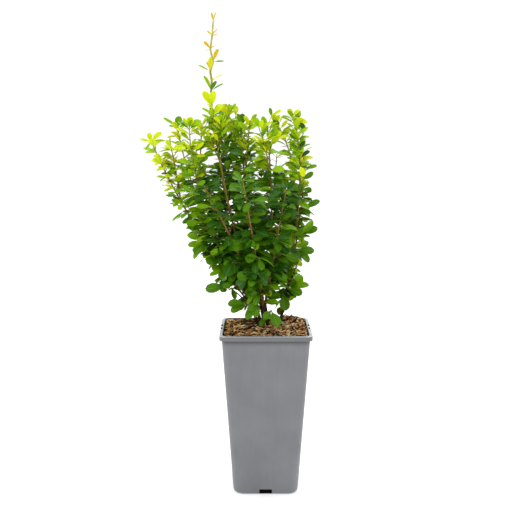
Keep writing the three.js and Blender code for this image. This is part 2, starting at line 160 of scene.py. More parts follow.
# A rosette of leaves at every node, closer together than in the solids, and twigs at some of the nodes
NODE_SPACINGS = ((240, 10.5), (400, 9.5), (450, 8.5))
FIRST_NODE = 7
LAST_NODE = 5
TIP_SINK = 1
GOLDEN_ANGLE = math.pi * (3 - math.sqrt(5))
LEADER_ABOVE = 490
ROSETTE_SHARES = (1.0, 0.98, 0.94, 0.88, 0.78, 0.64)
ROSETTE_PLAY = 1.4
ROSETTE_TURN = 0.5
TIP_LEAVES = 5
TIP_SIZE = 0.78
TWIG_EVERY = 2
TWIG_OFFSET = 1
TWIG_SHARE_MOST = 0.8
TWIG_HEIGHT_MOST = 465
TWIG_LENGTHS = (30, 6)
TWIG_LENGTH_PLAY = (0.75, 1.1)
TWIG_LIFT = math.radians(38)
TWIG_LIFT_PLAY = 0.2
TWIG_SAG = 0.05
TWIG_LEAVES = 4
TWIG_LEAVES_AT = 0.55
TWIG_LEAVES_TURN = 1
TWIG_LEAVES_FROM = 16

# Spines, alone or in pairs, on the upper shoots
SPINES_ABOVE = 420
SPINE_PAIRS = 0.4
SPINE_SPREAD = 0.5
SPINE_TURN = 0.5
SPINE_LIFT = 0.25
SPINE_LENGTHS = (6, 10.5)
SPINE_SUNK = 0.6
SPINE_SHARES = (0, 0.5, 1)
SPINE_RADII = (0.45, 0.3, 0.06)
SPINE_SIDES = 4

# Each stem stands at its foot [x, y] and ends at its fork. Each shoot passes its bend half way to its tip.
STEMS = {
    "left": {
        "foot": (-10, 8),
        "fork": (-21, 1, 245),
        "shoots": {
            "left_front": ((-75, -26, 368), (-95, -24, 470)),
            "far_left": ((-94, -8, 352), (-144, -12, 452)),
            "left_back": ((-84, 16, 368), (-113, 20, 470)),
        },
    },
    "leader": {
        "foot": (-5, -2),
        "fork": (-14, -6, 247),
        "shoots": {
            "leader": ((-62, -14, 455), (-64, -5, 600)),
            "behind_leader": ((-46, 20, 400), (-54, 32, 480)),
        },
    },
    "middle": {
        "foot": (3, 6),
        "fork": (-1, 5, 244),
        "shoots": {
            "middle_left": ((-24, 6, 380), (-31, 5, 470)),
            "middle_right": ((7, -22, 378), (-9, -26, 468)),
        },
    },
    "right": {
        "foot": (20, 21),
        "fork": (26, 16, 246),
        "shoots": {
            "right_front": ((43, -8, 396), (32, -12, 482)),
            "far_right": ((47, 20, 372), (48, 16, 438)),
            "right_back": ((38, 32, 396), (7, 30, 483)),
        },
    },
    "back": {
        "foot": (-2, 17),
        "fork": (-7, 23, 241),
        "shoots": {
            "back_right": ((8, 56, 355), (16, 72, 434)),
            "back_middle": ((-28, 62, 362), (-38, 84, 442)),
            "back_left": ((-57, 52, 352), (-88, 64, 430)),
        },
    },
    "front": {
        "foot": (3, -9),
        "fork": (-2, -18, 240),
        "shoots": {
            "front_left": ((-42, -53, 332), (-74, -72, 398)),
            "front_middle": ((-17, -57, 338), (-28, -82, 406)),
            "front_right": ((13, -49, 332), (24, -66, 394)),
        },
    },
}

# Short leafy shoots: the stem, the share of its length that they start from, and the tip
LOW_SHOOTS = {
    "left_edge": ("left", 0.85, (-88, -6, 318)),
    "right_edge": ("right", 0.85, (47, -12, 312)),
    "low_left": ("left", 0.5, (-50, -4, 266)),
    "low_front_left": ("leader", 0.55, (-28, -28, 252)),
    "low_front": ("front", 0.5, (12, -36, 240)),
    "low_right": ("right", 0.6, (39, -3, 258)),
    "low_back_right": ("right", 0.4, (34, 44, 256)),
    "low_back_left": ("back", 0.5, (-34, 42, 254)),
}

# Finer shoots, which the solids leave out: the shoot that each starts from, the share of its length there,
# and the tip
FINE_SHOOTS = (
    ("far_left", 0.62, (-119, -12, 444)),
    ("left_front", 0.62, (-80, -14, 470)),
    ("behind_leader", 0.66, (-38, 22, 484)),
    ("leader", 0.42, (-73, -28, 452)),
    ("middle_left", 0.6, (-20, 0, 478)),
    ("left_front", 0.22, (-98, -34, 372)),
    ("middle_right", 0.55, (2, -16, 472)),
    ("leader", 0.46, (-45, -10, 488)),
)
FINE_SHOOT_RADIUS = 0.9

# Leaves near the ground and at the edges that stand out in the photograph: the shoot that each spray grows
# from, the share of its length where its twig starts, the twig's end, and each leaf's tip [x, y, z], width
# and tint
LAID_SPRAYS = (
    ("low_left", 0.9, (-51, -6, 267), ((-77, -12, 263, 13, "base"), (-57, -16, 261, 10, "base"))),
    ("low_left", 0.7, (-44, -5, 265), ((-39, -14, 251, 7, "base"),)),
    ("low_front_left", 0.85, (-25, -20, 246), ((-48, -24, 246, 12, "base"), (-44, -28, 237, 11, "base"))),
    ("low_front_left", 0.5, (-11, -24, 250), ((-22, -33, 240, 10, "base"), (-13, -35, 232, 11, "base"))),
    ("low_front_left", 0.3, (-12, -20, 248), ((-24, -36, 229, 11, "base"),)),
    ("low_front", 0.6, (7, -26, 238), ((-3, -34, 230, 10, "base"), (15, -40, 221, 14, "base"))),
    ("low_front", 0.02, (0, -16, 230), ((-8, -28, 219, 7, "base"),)),
    ("low_right", 0.3, (23, 6, 255), ((25, -4, 234, 14, "base"), (8, 0, 251, 8, "base"))),
    ("low_right", 0.75, (29, 2, 262), ((47, -6, 256, 12, "base"), (56, -2, 267, 11, "mid"))),
    ("low_right", 0.8, (30, 2, 264), ((48, 4, 278, 12, "mid"), (40, -4, 271, 11, "base"))),
    ("low_left", 0.8, (-35, -14, 274), ((-54, -24, 267, 8, "base"), (-47, -24, 277, 8.5, "base"))),
    ("low_front_left", 0.4, (-11, -18, 263), ((-26, -26, 261, 11, "base"),)),
    ("left_edge", 0.55, (-51, -14, 289), ((-71, -22, 283, 7, "mid"), (-58, -24, 279, 10, "base"))),
    ("left_edge", 0.75, (-60, -18, 305), ((-80, -22, 308, 8, "base"), (-75, -22, 299, 13, "base"))),
    ("left_edge", 0.95, (-77, -14, 324), ((-98, -22, 321, 9, "mid"), (-90, -24, 310, 10, "base"))),
    ("left_edge", 0.97, (-80, -12, 328), ((-99, -20, 335, 8, "mid"), (-91, -20, 304, 6.5, "mid"))),
    ("right_edge", 0.85, (39, -14, 315), ((61, -20, 314, 10.5, "base"), (54, -24, 300, 11, "base"))),
    ("right_edge", 0.9, (41, -14, 317), ((54, -18, 325, 8, "mid"),)),
    ("right_edge", 0.95, (45, -14, 335), ((65, -20, 343, 10, "base"), (59, -22, 352, 8.5, "mid"))),
    ("far_left", 0.51, (-88, -12, 359), ((-105, -18, 349, 6.4, "base"),)),
    ("far_left", 0.54, (-102, -12, 365), ((-118, -18, 352, 3.4, "mid"),)),
    ("far_left", 0.59, (-108, -12, 375), ((-117, -18, 370, 4.2, "fresh"),)),
    ("far_left", 0.68, (-115, -12, 394), ((-128, -18, 389, 4.2, "lime"),)),
    ("far_left", 0.76, (-120, -12, 411), ((-131, -18, 411, 3.2, "base"), (-130, -18, 405, 3.4, "lime"))),
    ("far_left", 0.8, (-125, -12, 418), ((-137, -18, 415, 4.2, "lime"),)),
    ("right_front", 0.37, (49, -8, 367), ((68, -14, 377, 8.4, "base"), (55, -14, 360, 7.6, "base"))),
    ("right_front", 0.46, (46, -8, 392), ((57, -14, 388, 9.6, "base"),)),
    ("right_front", 0.51, (47, -8, 403), ((59, -14, 413, 7, "base"),)),
    ("right_front", 0.57, (48, -8, 417), ((64, -14, 421, 5.2, "mid"),)),
    ("right_front", 0.64, (44, -8, 431), ((55, -14, 439, 6.4, "deep"), (59, -14, 431, 4.2, "lime"))),
)

# Short shoots that carry no other leaves
BARE_SHOOTS = ("low_left", "low_front_left", "low_front", "low_right")

# Leaves at the tips of the shoots that stand against the sky: each leaf's tip [x, y, z], width and tint
TIP_SPRAYS = {
    "far_left": (
        (-157, -16, 454, 3.4, "lime"),
        (-146, -16, 462, 6.6, "lime"),
        (-130, -16, 462, 7.2, "lime"),
        (-126, -16, 452, 3.4, "fresh"),
        (-150, -16, 441, 3.2, "fresh"),
    ),
    "left_back": (
        (-131, 16, 481, 4, "fresh"),
        (-110, 16, 483, 10.2, "mid"),
        (-100, 16, 473, 4.4, "mid"),
        (-124, 16, 471, 3.4, "fresh"),
    ),
    "left_front": (
        (-92, -28, 481, 9.6, "lime"),
        (-102, -28, 480, 4, "lime"),
        (-80, -28, 476, 7.7, "fresh"),
    ),
    "behind_leader": (
        (-54, 28, 499, 7.7, "lime"),
        (-43, 28, 494, 5.2, "fresh"),
        (-60, 28, 494, 5.2, "mid"),
    ),
    "middle_left": (
        (-29, 1, 486, 8.8, "base"),
        (-39, 1, 472, 6.4, "fresh"),
        (-16, 1, 477, 5.4, "lime"),
        (-36, 1, 486, 5.2, "mid"),
    ),
    "middle_right": (
        (-14, -30, 480, 7.7, "fresh"),
        (-4, -30, 477, 5.8, "lime"),
        (7, -30, 474, 4.6, "lime"),
    ),
    "right_front": (
        (27, -16, 491, 7.7, "lime"),
        (42, -16, 490, 6, "lime"),
        (51, -16, 474, 6.4, "lime"),
        (49, -16, 467, 6.4, "deep"),
    ),
    "right_back": (
        (5, 26, 494, 5.2, "mid"),
        (20, 26, 491, 5.2, "lime"),
        (17, 26, 471, 6.4, "base"),
    ),
}

# How the leaves lie that are laid one by one
LAID_SEED = 77
LAID_FACING = (0.0, -0.9, 0.45)
LAID_ROLL = 0.2
LAID_CURLS = (16, 38)
LAID_CUPS = (0.22, 0.42)
LAID_TWIST = 0.08

# The leader's top, node by node: the height, how far the leader bends aside there, and its leaves, each
# with how far its tip lies sideways, up and forward of the node, its width and its tint
LEADER_STRAIGHT_BELOW = 465
LEADER_FACING = 6
LEADER_OPENING = 0.4
LEADER_TOP = (
    (474, 0.0, ((-15, 10, 3, 4.6, "fresh"), (21, 13, 2, 5, "fresh"), (-12, 3, -4, 4, "mid"))),
    (483, -0.5, ((-13.5, 9, 4, 3.6, "fresh"), (13, 13, 4, 7.5, "lime"), (15, 3, -3, 5, "mid"))),
    (495, -1.0, ((-10.5, 17, 4, 10, "lime"), (4, 17.5, 7, 9.5, "lime"), (3, 14, -9, 7, "fresh"))),
    (513, -0.5, ((-9, 18.5, 3, 6.4, "fresh"), (7, 12, 3, 5.4, "base"), (15.5, 9, 3, 2.6, "mid"))),
    (525, 1.0, ((14.5, 8, 3, 3, "lime"), (2, 4, 3, 3, "bronze"))),
    (537, -0.5, ((-14.5, 7.5, 2, 2.8, "fresh"), (-5, 12, 2, 3.4, "bronze"), (1.5, 17, 5, 6.6, "yellow"))),
    (549, 2.8, ((13.5, 0.6, 2, 2.4, "mid"), (7, 15, 4, 6, "bronze"))),
    (565, -1.0, ((-8, 8, 3, 4.4, "bronze"), (-7.6, -3.4, -3, 2.2, "yellow"), (4.7, 3, 2, 2.2, "bronze"))),
    (581, 0.0, ((-6.4, 5.3, 3, 3, "yellow"), (7.2, 8.5, -2, 4.4, "bronze"), (6.6, 0.7, 3, 2, "bronze"))),
    (598, -1.0, ((-2.2, 11, 2, 2.6, "bronze"), (3.4, 12, -2, 2.4, "bronze"))),
)

# A leaf: shares of its length, its width there as a share of the widest place, and its three finishes
LEAF_STATIONS = (0.0, 0.15, 0.32, 0.5, 0.69, 0.88, 1.0)
LEAF_WIDTHS = (0.09, 0.15, 0.57, 0.9, 1.0, 0.8, 0.28)
LEAF_ACROSS = (-1.0, -0.54, -0.04, 0.04, 0.54, 1.0)
LEAF_THICKNESS = 0.28
LEAF_EDGE_THICKNESS = 0.5
LEAF_FOLD_POWER = 0.85
LEAST_CURL = 1e-3
UPPER, RIB, UNDER = range(3)

# How many leaves a rosette has at rising heights, their sizes, and how they stand
LEAF_COUNTS = ((235, 3.0), (270, 4.2), (320, 5.4), (400, 5.4), (440, 4.6), (465, 3.8), (480, 3.2))
LEAF_LENGTHS = ((235, 20), (300, 21), (360, 21), (410, 19.5), (440, 17.5), (480, 16))
LEAF_WIDTH_SHARES = ((235, 0.66), (290, 0.54), (350, 0.45), (430, 0.42), (480, 0.48))
LEAF_LIFTS = ((235, -20), (300, -2), (380, 12), (430, 26), (465, 46), (480, 52))
LEAF_CURLS = ((235, 30), (340, 28), (430, 22), (470, 10))
LEAF_TILTS = ((235, 1.1), (340, 1.05), (430, 1.0), (470, 0.9))
LEAF_ROLLS = ((235, 0.4), (340, 0.35), (450, 0.4), (480, 0.6))
LEAF_SIZES = (0.85, 1.12)
WIDTH_PLAY = (0.85, 1.15)
LIFT_PLAY = 13
INNER_LIFT = 60
CURL_PLAY = 14
LEAF_CUPS = (0.1, 0.4)
LEAF_TWIST = 0.12
LEAF_LEAN = 0.6
LEAF_SUNK = 0.7
LEAF_CLEARANCE = 1
SIDEWAYS = 0.34
OWN_FACE = 0.5
SKY_FACE = 0.7
SHRUB_MIDDLE = -14
NOT_ZERO = 1e-6
LEAN_OUT = (0.1, 0.9)
FACE_OUT = 0.8
FACE_LEFT = 0.15
HALF_WAY = 14
HALF_BLEND = 12

# No leaf of a rosette hides the feet of the stems from the front
BARE_BELOW = 247
BARE_BEFORE = 25

# Places where the photograph shows sky, as the camera sees them against the pot's middle plane:
# the middle [x, z] and how far each reaches along x and z
SKY = {
    "far_left": (-118, 446, 4, 3),
    "left_top": (-83, 483, 6, 4),
    "left_high": (-97, 459, 4, 8),
    "left_mid": (-107, 434, 4, 5),
    "left_low": (-89, 411, 3, 6),
    "leader_high": (-83, 456, 4, 4),
    "leader_left": (-71, 427, 8, 5),
    "leader_low": (-82, 438, 4, 4),
    "left_edge": (-110, 358, 5, 3),
    "middle": (-12, 466, 5, 5),
    "middle_top": (-20, 486, 5, 6),
    "right_top": (1, 484, 5, 6),
    "right": (13, 427, 11, 9),
    "right_mid": (15, 444, 6, 4),
    "low_left": (-61, 283, 5, 4),
    "low_middle": (-34, 254, 7, 6),
    "right_stem": (33, 268, 8, 5),
    "right_foot": (56, 236, 26, 18),
    "foot_right": (12, 250, 5, 4),
    "left_foot": (-70, 222, 26, 12),
    "foot_stems": (-3, 238, 5, 11),
    "left_under": (-60, 254, 22, 7),
}

# How far the leaves reach to the left and right at rising heights, seen in the same way. Their middles stay
# a little inside that, and their tips come close to it
OUTLINE = (
    (232, -46, 30),
    (247, -50, 31),
    (258, -75, 55),
    (276, -71, 52),
    (287, -66, 40),
    (300, -80, 47),
    (339, -97, 57),
    (364, -117, 59),
    (403, -131, 55),
    (440, -157, 55),
    (455, -165, 58),
    (480, -138, 54),
)
EDGE_THINNING = 1
EDGE_PLAY = (-10, 5)

# The part of the leader that shows, from its lower to its upper end: leaves in front of it keep clear of it
LEADER_SHOWS = (332, 455)
LEADER_FRONT = -18
LEADER_CLEARANCE = 4
LEADER_STEPS = 100

# A spray takes the tints of a height: its own, raised at the sides of the shrub as painted light and
# lowered near its axis as painted shade.
# At the front that is a low one, as painted shade, and near the tips of the long shoots that of the shrub's
# top
AXIS_FOOT = -10
AXIS_LEAN = 0.18
AXIS_BELOW = 250
REACH_BELOW = 40
REACH_GROWTH = 0.3
SIDE_LIGHT_RAISINGS = ((240, 330), (300, 300), (350, 200), (380, 130), (430, 70), (470, 40))
OUTER_FROM = 0.45
INNER_ABOVE = 390
INNER_SHADE_LOWERING = 2
LOW_TINTS_MOST = 402
FRONT_BEFORE = -34
FRONT_SHADE_TINTS_AT = 345
FRESH_ABOVE = 425
TIP_TINTS_AT = 478
TIP_TINT_RAISINGS = {
    "far_left": 8,
    "left_front": 4,
    "left_back": 2,
    "middle_left": -30,
    "middle_right": 6,
    "right_front": -26,
    "right_back": 8,
}
TINT_PLAY = 10

# The shares of leaf colours at rising heights, from deep green to bronze
LEAF_TINTS = ("deep", "base", "mid", "fresh", "lime", "yellow", "bronze")
TINT_SHARES = (
    (230, (0.14, 0.48, 0.38, 0, 0, 0, 0)),
    (310, (0.34, 0.44, 0.22, 0, 0, 0, 0)),
    (345, (0.56, 0.37, 0.07, 0, 0, 0, 0)),
    (370, (0.42, 0.42, 0.16, 0, 0, 0, 0)),
    (405, (0.05, 0.31, 0.58, 0.06, 0, 0, 0)),
    (430, (0, 0.12, 0.34, 0.38, 0.16, 0, 0)),
    (450, (0, 0.02, 0.2, 0.42, 0.34, 0.02, 0)),
    (475, (0, 0, 0.1, 0.34, 0.5, 0.06, 0)),
    (500, (0, 0, 0.02, 0.24, 0.5, 0.24, 0)),
    (530, (0, 0, 0, 0.12, 0.5, 0.34, 0.04)),
    (560, (0, 0, 0, 0, 0.2, 0.5, 0.3)),
)


def srgb(red, green, blue):
    """A colour as a screen shows it, from 0 to 255, as the plain light values that a shader takes."""
    shares = [value / 255 for value in (red, green, blue)]
    lights = [s / 12.92 if s <= 0.04045 else ((s + 0.055) / 1.055) ** 2.4 for s in shares]
    return (*lights, 1.0)


# Leaf colours, above and below, and the share of light that comes through
LEAF_COLORS = {
    "deep": (srgb(44, 92, 8), srgb(76, 114, 24)),
    "base": (srgb(78, 128, 4), srgb(108, 148, 24)),
    "mid": (srgb(110, 160, 2), srgb(138, 174, 26)),
    "fresh": (srgb(146, 192, 0), srgb(166, 200, 26)),
    "lime": (srgb(206, 222, 0), srgb(212, 226, 30)),
    "yellow": (srgb(204, 202, 0), srgb(206, 202, 26)),
    "bronze": (srgb(212, 174, 4), srgb(210, 170, 34)),
}
LEAF_GLOW = {
    "deep": 0.0,
    "base": 0.0,
    "mid": 0.05,
    "fresh": 0.15,
    "lime": 0.2,
    "yellow": 0.2,
    "bronze": 0.2,
}
GLOW_DEPTH = 0.6
RIB_PALE = (0.6, 0.7, 0.3, 1.0)
RIB_LIGHTENING = 0.2

# Colours of spines and chips, the painted shade on the faces of the cuts, and the heights between which the
# bark turns from brown to green
SPINE_COLOR = srgb(158, 128, 66)
YOUNG_BARK = (240, 620)
CHIP_COLORS = {
    "tan": srgb(218, 168, 106),
    "straw": srgb(255, 220, 164),
    "brown": srgb(150, 104, 58),
    "umber": srgb(82, 53, 28),
    "dark": srgb(34, 21, 11),
}
CHIP_DARKENING = 0.45
CHIP_PALING = 1.22
CHIP_SHARES = (0.27, 0.22, 0.19, 0.18, 0.14)
SHADE_PATCH_CHIP_SHARES = (0.06, 0.02, 0.26, 0.36, 0.3)
CUT_SHADE_COLOR = srgb(46, 45, 44)

# Faces that meet at less than these angles, in degrees, shade as one
POT_SMOOTH = 40
BED_SMOOTH = 60
CHIP_SMOOTH = 30
BARK_SMOOTH = 60
LEAF_SMOOTH = 50

# Stage, in metres: a pale floor, light all round, less of it from the front, and two lamps
FLOOR_SIZE = 14
FLOOR_COLOR = srgb(235, 235, 235)
FLOOR_GLOW = 0.45
FRONT_LIGHT = 0.5
BACK_LIGHT = 1.05
LIGHT_TURNS = (-1, 0.3)
LAMPS = {
    "key": {"place": (-0.7, -1.1, 1.5), "aim": (0, 0, 0.3), "size": 1.0, "power": 8},
    "top": {"place": (0.2, 0.5, 1.7), "aim": (0, 0, 0.35), "size": 1.2, "power": 14},
}
WHITE = (1, 1, 1, 1)


class Value:
    """One output of a node. Arithmetic on it adds Math nodes."""

    def __init__(self, nodes, output):
        self.nodes = nodes
        self.output = output

    def work_out(self, operation, first, second):
        return self.nodes.node("ShaderNodeMath", {"operation": operation}, {0: first, 1: second})

    def __add__(self, other):
        return self.work_out("ADD", self, other)

    def __rsub__(self, other):
        return self.work_out("SUBTRACT", other, self)

    def __mul__(self, other):
        return self.work_out("MULTIPLY", self, other)

    __radd__ = __add__
    __rmul__ = __mul__


class Nodes:
    """The nodes of a material or of the world."""

    def __init__(self, tree):
        self.tree = tree

    def node(self, kind, settings, inputs, output=0):
        node = self.tree.nodes.new(kind)
        for name, value in settings.items():
            if name == "stops":
                set_stops(node.color_ramp, value)
            else:
                setattr(node, name, value)
        for key, value in inputs.items():
            self.feed(node.inputs[key], value)
        return Value(self, node.outputs[output])

    def feed(self, socket, value):
        if isinstance(value, Value):
            self.tree.links.new(value.output, socket)
        else:
            socket.default_value = value


class Finish(Nodes):
    """A material round one Principled shader."""

    def __init__(self, name, **plain):
        self.material = bpy.data.materials.new(name)
        self.material.use_nodes = True
        super().__init__(self.material.node_tree)
        self.shader = self.tree.nodes["Principled BSDF"]
        for socket, value in plain.items():
            self.set(socket.replace("_", " "), value)

    def set(self, socket, value):
        self.feed(self.shader.inputs[socket], value)

    def point(self):
        """The point on the piece, in metres."""
        return self.node("ShaderNodeTexCoord", {}, {}, "Object")

    def along(self, axis):
        """How far a point on the piece lies along an axis, in metres."""
        return self.node("ShaderNodeSeparateXYZ", {}, {0: self.point()}, axis)

    def noise(self, scale, detail, stretch=(1, 1, 1)):
        place = self.node("ShaderNodeMapping", {}, {"Vector": self.point(), "Scale": stretch})
        return self.node("ShaderNodeTexNoise", {}, {"Vector": place, "Scale": scale, "Detail": detail})

    def share(self, value, low, high):
        """How far a value has gone from low to high, from 0 to 1."""
        return self.node("ShaderNodeMapRange", {}, {"Value": value, "From Min": low, "From Max": high})

    def ramp(self, value, stops):
        return self.node("ShaderNodeValToRGB", {"stops": stops}, {"Fac": value})

    def mix(self, share, first, second, blend="MIX"):
        settings = {"data_type": "RGBA", "blend_type": blend}
        return self.node("ShaderNodeMix", settings, {0: share, 6: first, 7: second}, 2)

    def bump(self, height, distance, strength=1.0):
        inputs = {"Height": height, "Distance": distance, "Strength": strength}
        self.set("Normal", self.node("ShaderNodeBump", {}, inputs))


def set_stops(ramp, stops):
    while len(ramp.elements) < len(stops):
        ramp.elements.new(1.0)
    for element, (position, color) in zip(ramp.elements, stops):
        element.position = position
        element.color = color


def pot_plastic():
    """Grey plastic with streaks up the sides, painted shade under the rim and a painted highlight along the
    rim's top edge, brightest on the left and right bars.
    """
    finish = Finish("pot_plastic")
    cloud = finish.noise(scale=22, detail=4)
    drawn = finish.noise(scale=140, detail=2, stretch=(1, 1, 0.06))
    grain = finish.noise(scale=2600, detail=2)
    height = finish.along("Z")
    across = finish.along("X")
    # Painted shade: the body darkens towards the underside of the rim, where the rim's overhang shades it
    under_rim_shade = finish.share(height, (BODY_TOP - UNDER_RIM_SHADE_REACH) * MM, BODY_TOP * MM)
    is_rim = finish.share(height, BODY_TOP * MM, (BODY_TOP + RIM_EDGE) * MM)
    # Painted highlight: the rim's top edge is lightened, more on the left and right bars, standing for
    # light reflected off it
    rim_top_highlight = finish.share(height, (POT_HEIGHT - 2 * RIM_EDGE) * MM, (POT_HEIGHT - RIM_EDGE) * MM)
    is_side = finish.share(across * across, (SIDE_BAR[0] * MM) ** 2, (SIDE_BAR[1] * MM) ** 2)
    tone = cloud * 0.8 + drawn * 0.2
    color = finish.ramp(tone, [(0.3, srgb(106, 107, 111)), (0.7, srgb(120, 121, 125))])
    color = finish.mix(under_rim_shade * under_rim_shade * (1 - is_rim) * 0.95, color, srgb(38, 38, 40))
    color = finish.mix(is_rim * 0.5, color, srgb(100, 101, 105))
    color = finish.mix(rim_top_highlight * (0.4 + 0.45 * is_side), color, srgb(196, 198, 202))
    finish.set("Base Color", color)
    finish.set("Roughness", 0.3 + 0.16 * cloud)
    finish.bump(grain * 0.5 + drawn * 0.5, distance=0.00012, strength=0.5)
    return finish.material


def bed_mulch():
    finish = Finish("bed_mulch", Roughness=0.95, Specular_IOR_Level=0.1)
    crumbs = finish.noise(scale=420, detail=5)
    # The fine mix's own dark brown, made near black as painted shade in the gaps between the chips
    color = finish.ramp(
        crumbs,
        [(0.34, srgb(6, 4, 2)), (0.52, srgb(24, 15, 8)), (0.7, srgb(64, 44, 24))],
    )
    finish.set("Base Color", color)
    finish.bump(crumbs, distance=0.002)
    return finish.material


def chip_bark(name, color):
    finish = Finish(f"chip_{name}", Roughness=0.85, Specular_IOR_Level=0.2)
    fibres = finish.noise(scale=900, detail=4, stretch=(1, 0.35, 1))
    dark = tuple(CHIP_DARKENING * value for value in color[:3]) + (1.0,)
    pale = tuple(min(1.0, CHIP_PALING * value) for value in color[:3]) + (1.0,)
    finish.set("Base Color", finish.ramp(fibres, [(0.3, dark), (0.5, color), (0.72, pale)]))
    finish.bump(fibres, distance=0.0004)
    return finish.material


def stem_bark():
    finish = Finish("stem_bark", Roughness=0.8, Specular_IOR_Level=0.2)
    streaks = finish.noise(scale=700, detail=4, stretch=(1, 1, 0.14))
    patches = finish.noise(scale=160, detail=3)
    # The bark's own brown, made darker still as painted shade, since the stems stand low in the shade of
    # the leaves
    color = finish.ramp(
        streaks * 0.7 + patches * 0.3,
        [(0.32, srgb(22, 14, 7)), (0.5, srgb(56, 36, 18)), (0.68, srgb(104, 70, 36))],
    )
    finish.set("Base Color", color)
    finish.bump(streaks, distance=0.0005)
    return finish.material


def shoot_bark():
    """Brown at the foot, tan half way up and green at the top."""
    finish = Finish("shoot_bark", Roughness=0.62, Specular_IOR_Level=0.2)
    streaks = finish.noise(scale=800, detail=3, stretch=(1, 1, 0.12))
    patches = finish.noise(scale=70, detail=2)
    rise = finish.along("Z") + 0.05 * patches
    young = finish.ramp(
        finish.share(rise, YOUNG_BARK[0] * MM, YOUNG_BARK[1] * MM),
        [
            (0.0, srgb(58, 40, 20)),
            (0.16, srgb(112, 84, 42)),
            (0.34, srgb(158, 128, 58)),
            (0.5, srgb(158, 148, 56)),
            (0.7, srgb(156, 158, 52)),
            (0.82, srgb(170, 174, 62)),
            (1.0, srgb(220, 220, 128)),
        ],
    )
    dark = finish.mix(1.0, young, srgb(200, 186, 164), "MULTIPLY")
    shade = finish.share(streaks, 0.38, 0.6)
    finish.set("Base Color", finish.mix(shade, dark, young))
    finish.bump(streaks, distance=0.0003)
    return finish.material


def leaf_finishes(tint):
    """The upper face, the midrib and the paler underside of leaves of one tint."""
    upper, under = LEAF_COLORS[tint]
    rib = tuple(u + RIB_LIGHTENING * (p - u) for u, p in zip(upper, RIB_PALE))
    glow = {
        "Subsurface_Weight": LEAF_GLOW[tint],
        "Subsurface_Scale": GLOW_DEPTH * MM,
        "Subsurface_Radius": (1, 1, 1),
    }
    faces = {
        "upper": {"Base_Color": upper, "Roughness": 0.38, "Specular_IOR_Level": 0.12, **glow},
        "rib": {"Base_Color": rib, "Roughness": 0.5, "Specular_IOR_Level": 0.1},
        "under": {"Base_Color": under, "Roughness": 0.6, "Specular_IOR_Level": 0.06, **glow},
    }
    return [Finish(f"leaf_{tint}_{face}", **plain).material for face, plain in faces.items()]


def between(table, height):
    """A value read off a table of rising heights."""
    heights = [row[0] for row in table]
    return float(np.interp(height, heights, [row[1] for row in table]))


class Bow:
    """A curve that starts and ends at two points and passes the bend half way."""

    def __init__(self, start, bend, end):
        self.start = np.array(start, float)
        self.end = np.array(end, float)
        self.pull = 2 * np.array(bend, float) - (self.start + self.end) / 2
        points = [self.point(step / CURVE_STEPS) for step in range(CURVE_STEPS + 1)]
        self.length = sum(np.linalg.norm(b - a) for a, b in zip(points, points[1:]))

    def point(self, share):
        rest = 1 - share
        return rest * rest * self.start + 2 * rest * share * self.pull + share * share * self.end

    def direction(self, share):
        return unit((1 - share) * (self.pull - self.start) + share * (self.end - self.pull))

    def share_at(self, height):
        """The share of the curve at which it reaches a height, or 1 where it ends lower."""
        shares = np.linspace(0, 1, CURVE_STEPS + 1)
        return float(np.interp(height, [self.point(share)[2] for share in shares], shares))


class Leader(Bow):
    """The leader's curve, which bends from node to node near its top."""

    def point(self, share):
        place = super().point(share)
        heights, bends, leaves = zip(*LEADER_TOP)
        sideways = np.interp(place[2], [LEADER_STRAIGHT_BELOW, *heights], [0, *bends])
        return place + (sideways, 0, 0)


def unit(vector):
    return vector / np.linalg.norm(vector)


def square_to(vector, direction):
    return unit(vector - np.dot(vector, direction) * direction)


def turned(vector, axis, angle):
    """A vector turned about a unit axis."""
    across = np.cross(axis, vector)
    along = axis * np.dot(axis, vector) * (1 - math.cos(angle))
    return vector * math.cos(angle) + across * math.sin(angle) + along


def side_of(direction):
    """The direction straight out from a limb towards +X."""
    return square_to(np.array((1.0, 0.0, 0.0)), direction)


def outward_from(direction, angle):
    """The direction straight out from a limb at an angle round it, counted from +X."""
    return turned(side_of(direction), direction, angle)


def stem_curve(stem):
    foot = np.array((*stem["foot"], GROUND), float)
    fork = np.array(stem["fork"], float)
    return Bow(foot, (foot + fork) / 2 + (0, 0, STEM_BOW / 2), fork)


def stem_radius(share, length):
    flare = STEM_FLARE * math.exp(-share * length / STEM_FLARE_HEIGHT)
    return (STEM_FOOT_RADIUS + (STEM_FORK_RADIUS - STEM_FOOT_RADIUS) * share) * (1 + flare)


def shoot_curves(stem, curve):
    """The shoots of one stem start side by side at its end, in the order in which they fan out."""
    fork = curve.end
    direction = curve.direction(1)
    spreads = [np.array(bend, float) - fork for bend, tip in stem["shoots"].values()]
    sense = np.sign(spreads[0][0] * spreads[-1][1] - spreads[0][1] * spreads[-1][0])
    count = len(spreads)
    fan = sense * 2 * math.pi / max(count, FORK_PLACES)
    facing = math.atan2(sum(s[1] for s in spreads), sum(s[0] for s in spreads))
    curves = {}
    for i, (name, (bend, tip)) in enumerate(stem["shoots"].items()):
        turn = facing + fan * (i - (count - 1) / 2)
        side = square_to(np.array((math.cos(turn), math.sin(turn), 0)), direction)
        kind = Leader if tip[2] > LEADER_ABOVE else Bow
        curves[name] = kind(fork + side * FORK_RING_RADIUS + direction * GAP, bend, tip)
    return curves


def side_shoot_curve(curve, share, tip):
    """A shoot from a place on a stem or on another shoot."""
    tip = np.array(tip, float)
    root = curve.point(share)
    return Bow(root, (root + tip) / 2 + (0, 0, SIDE_SHOOT_RISE / 2), tip)


def select_only(piece):
    """Selects one piece alone."""
    bpy.ops.object.select_all(action="DESELECT")
    piece.select_set(True)
    bpy.context.view_layer.objects.active = piece


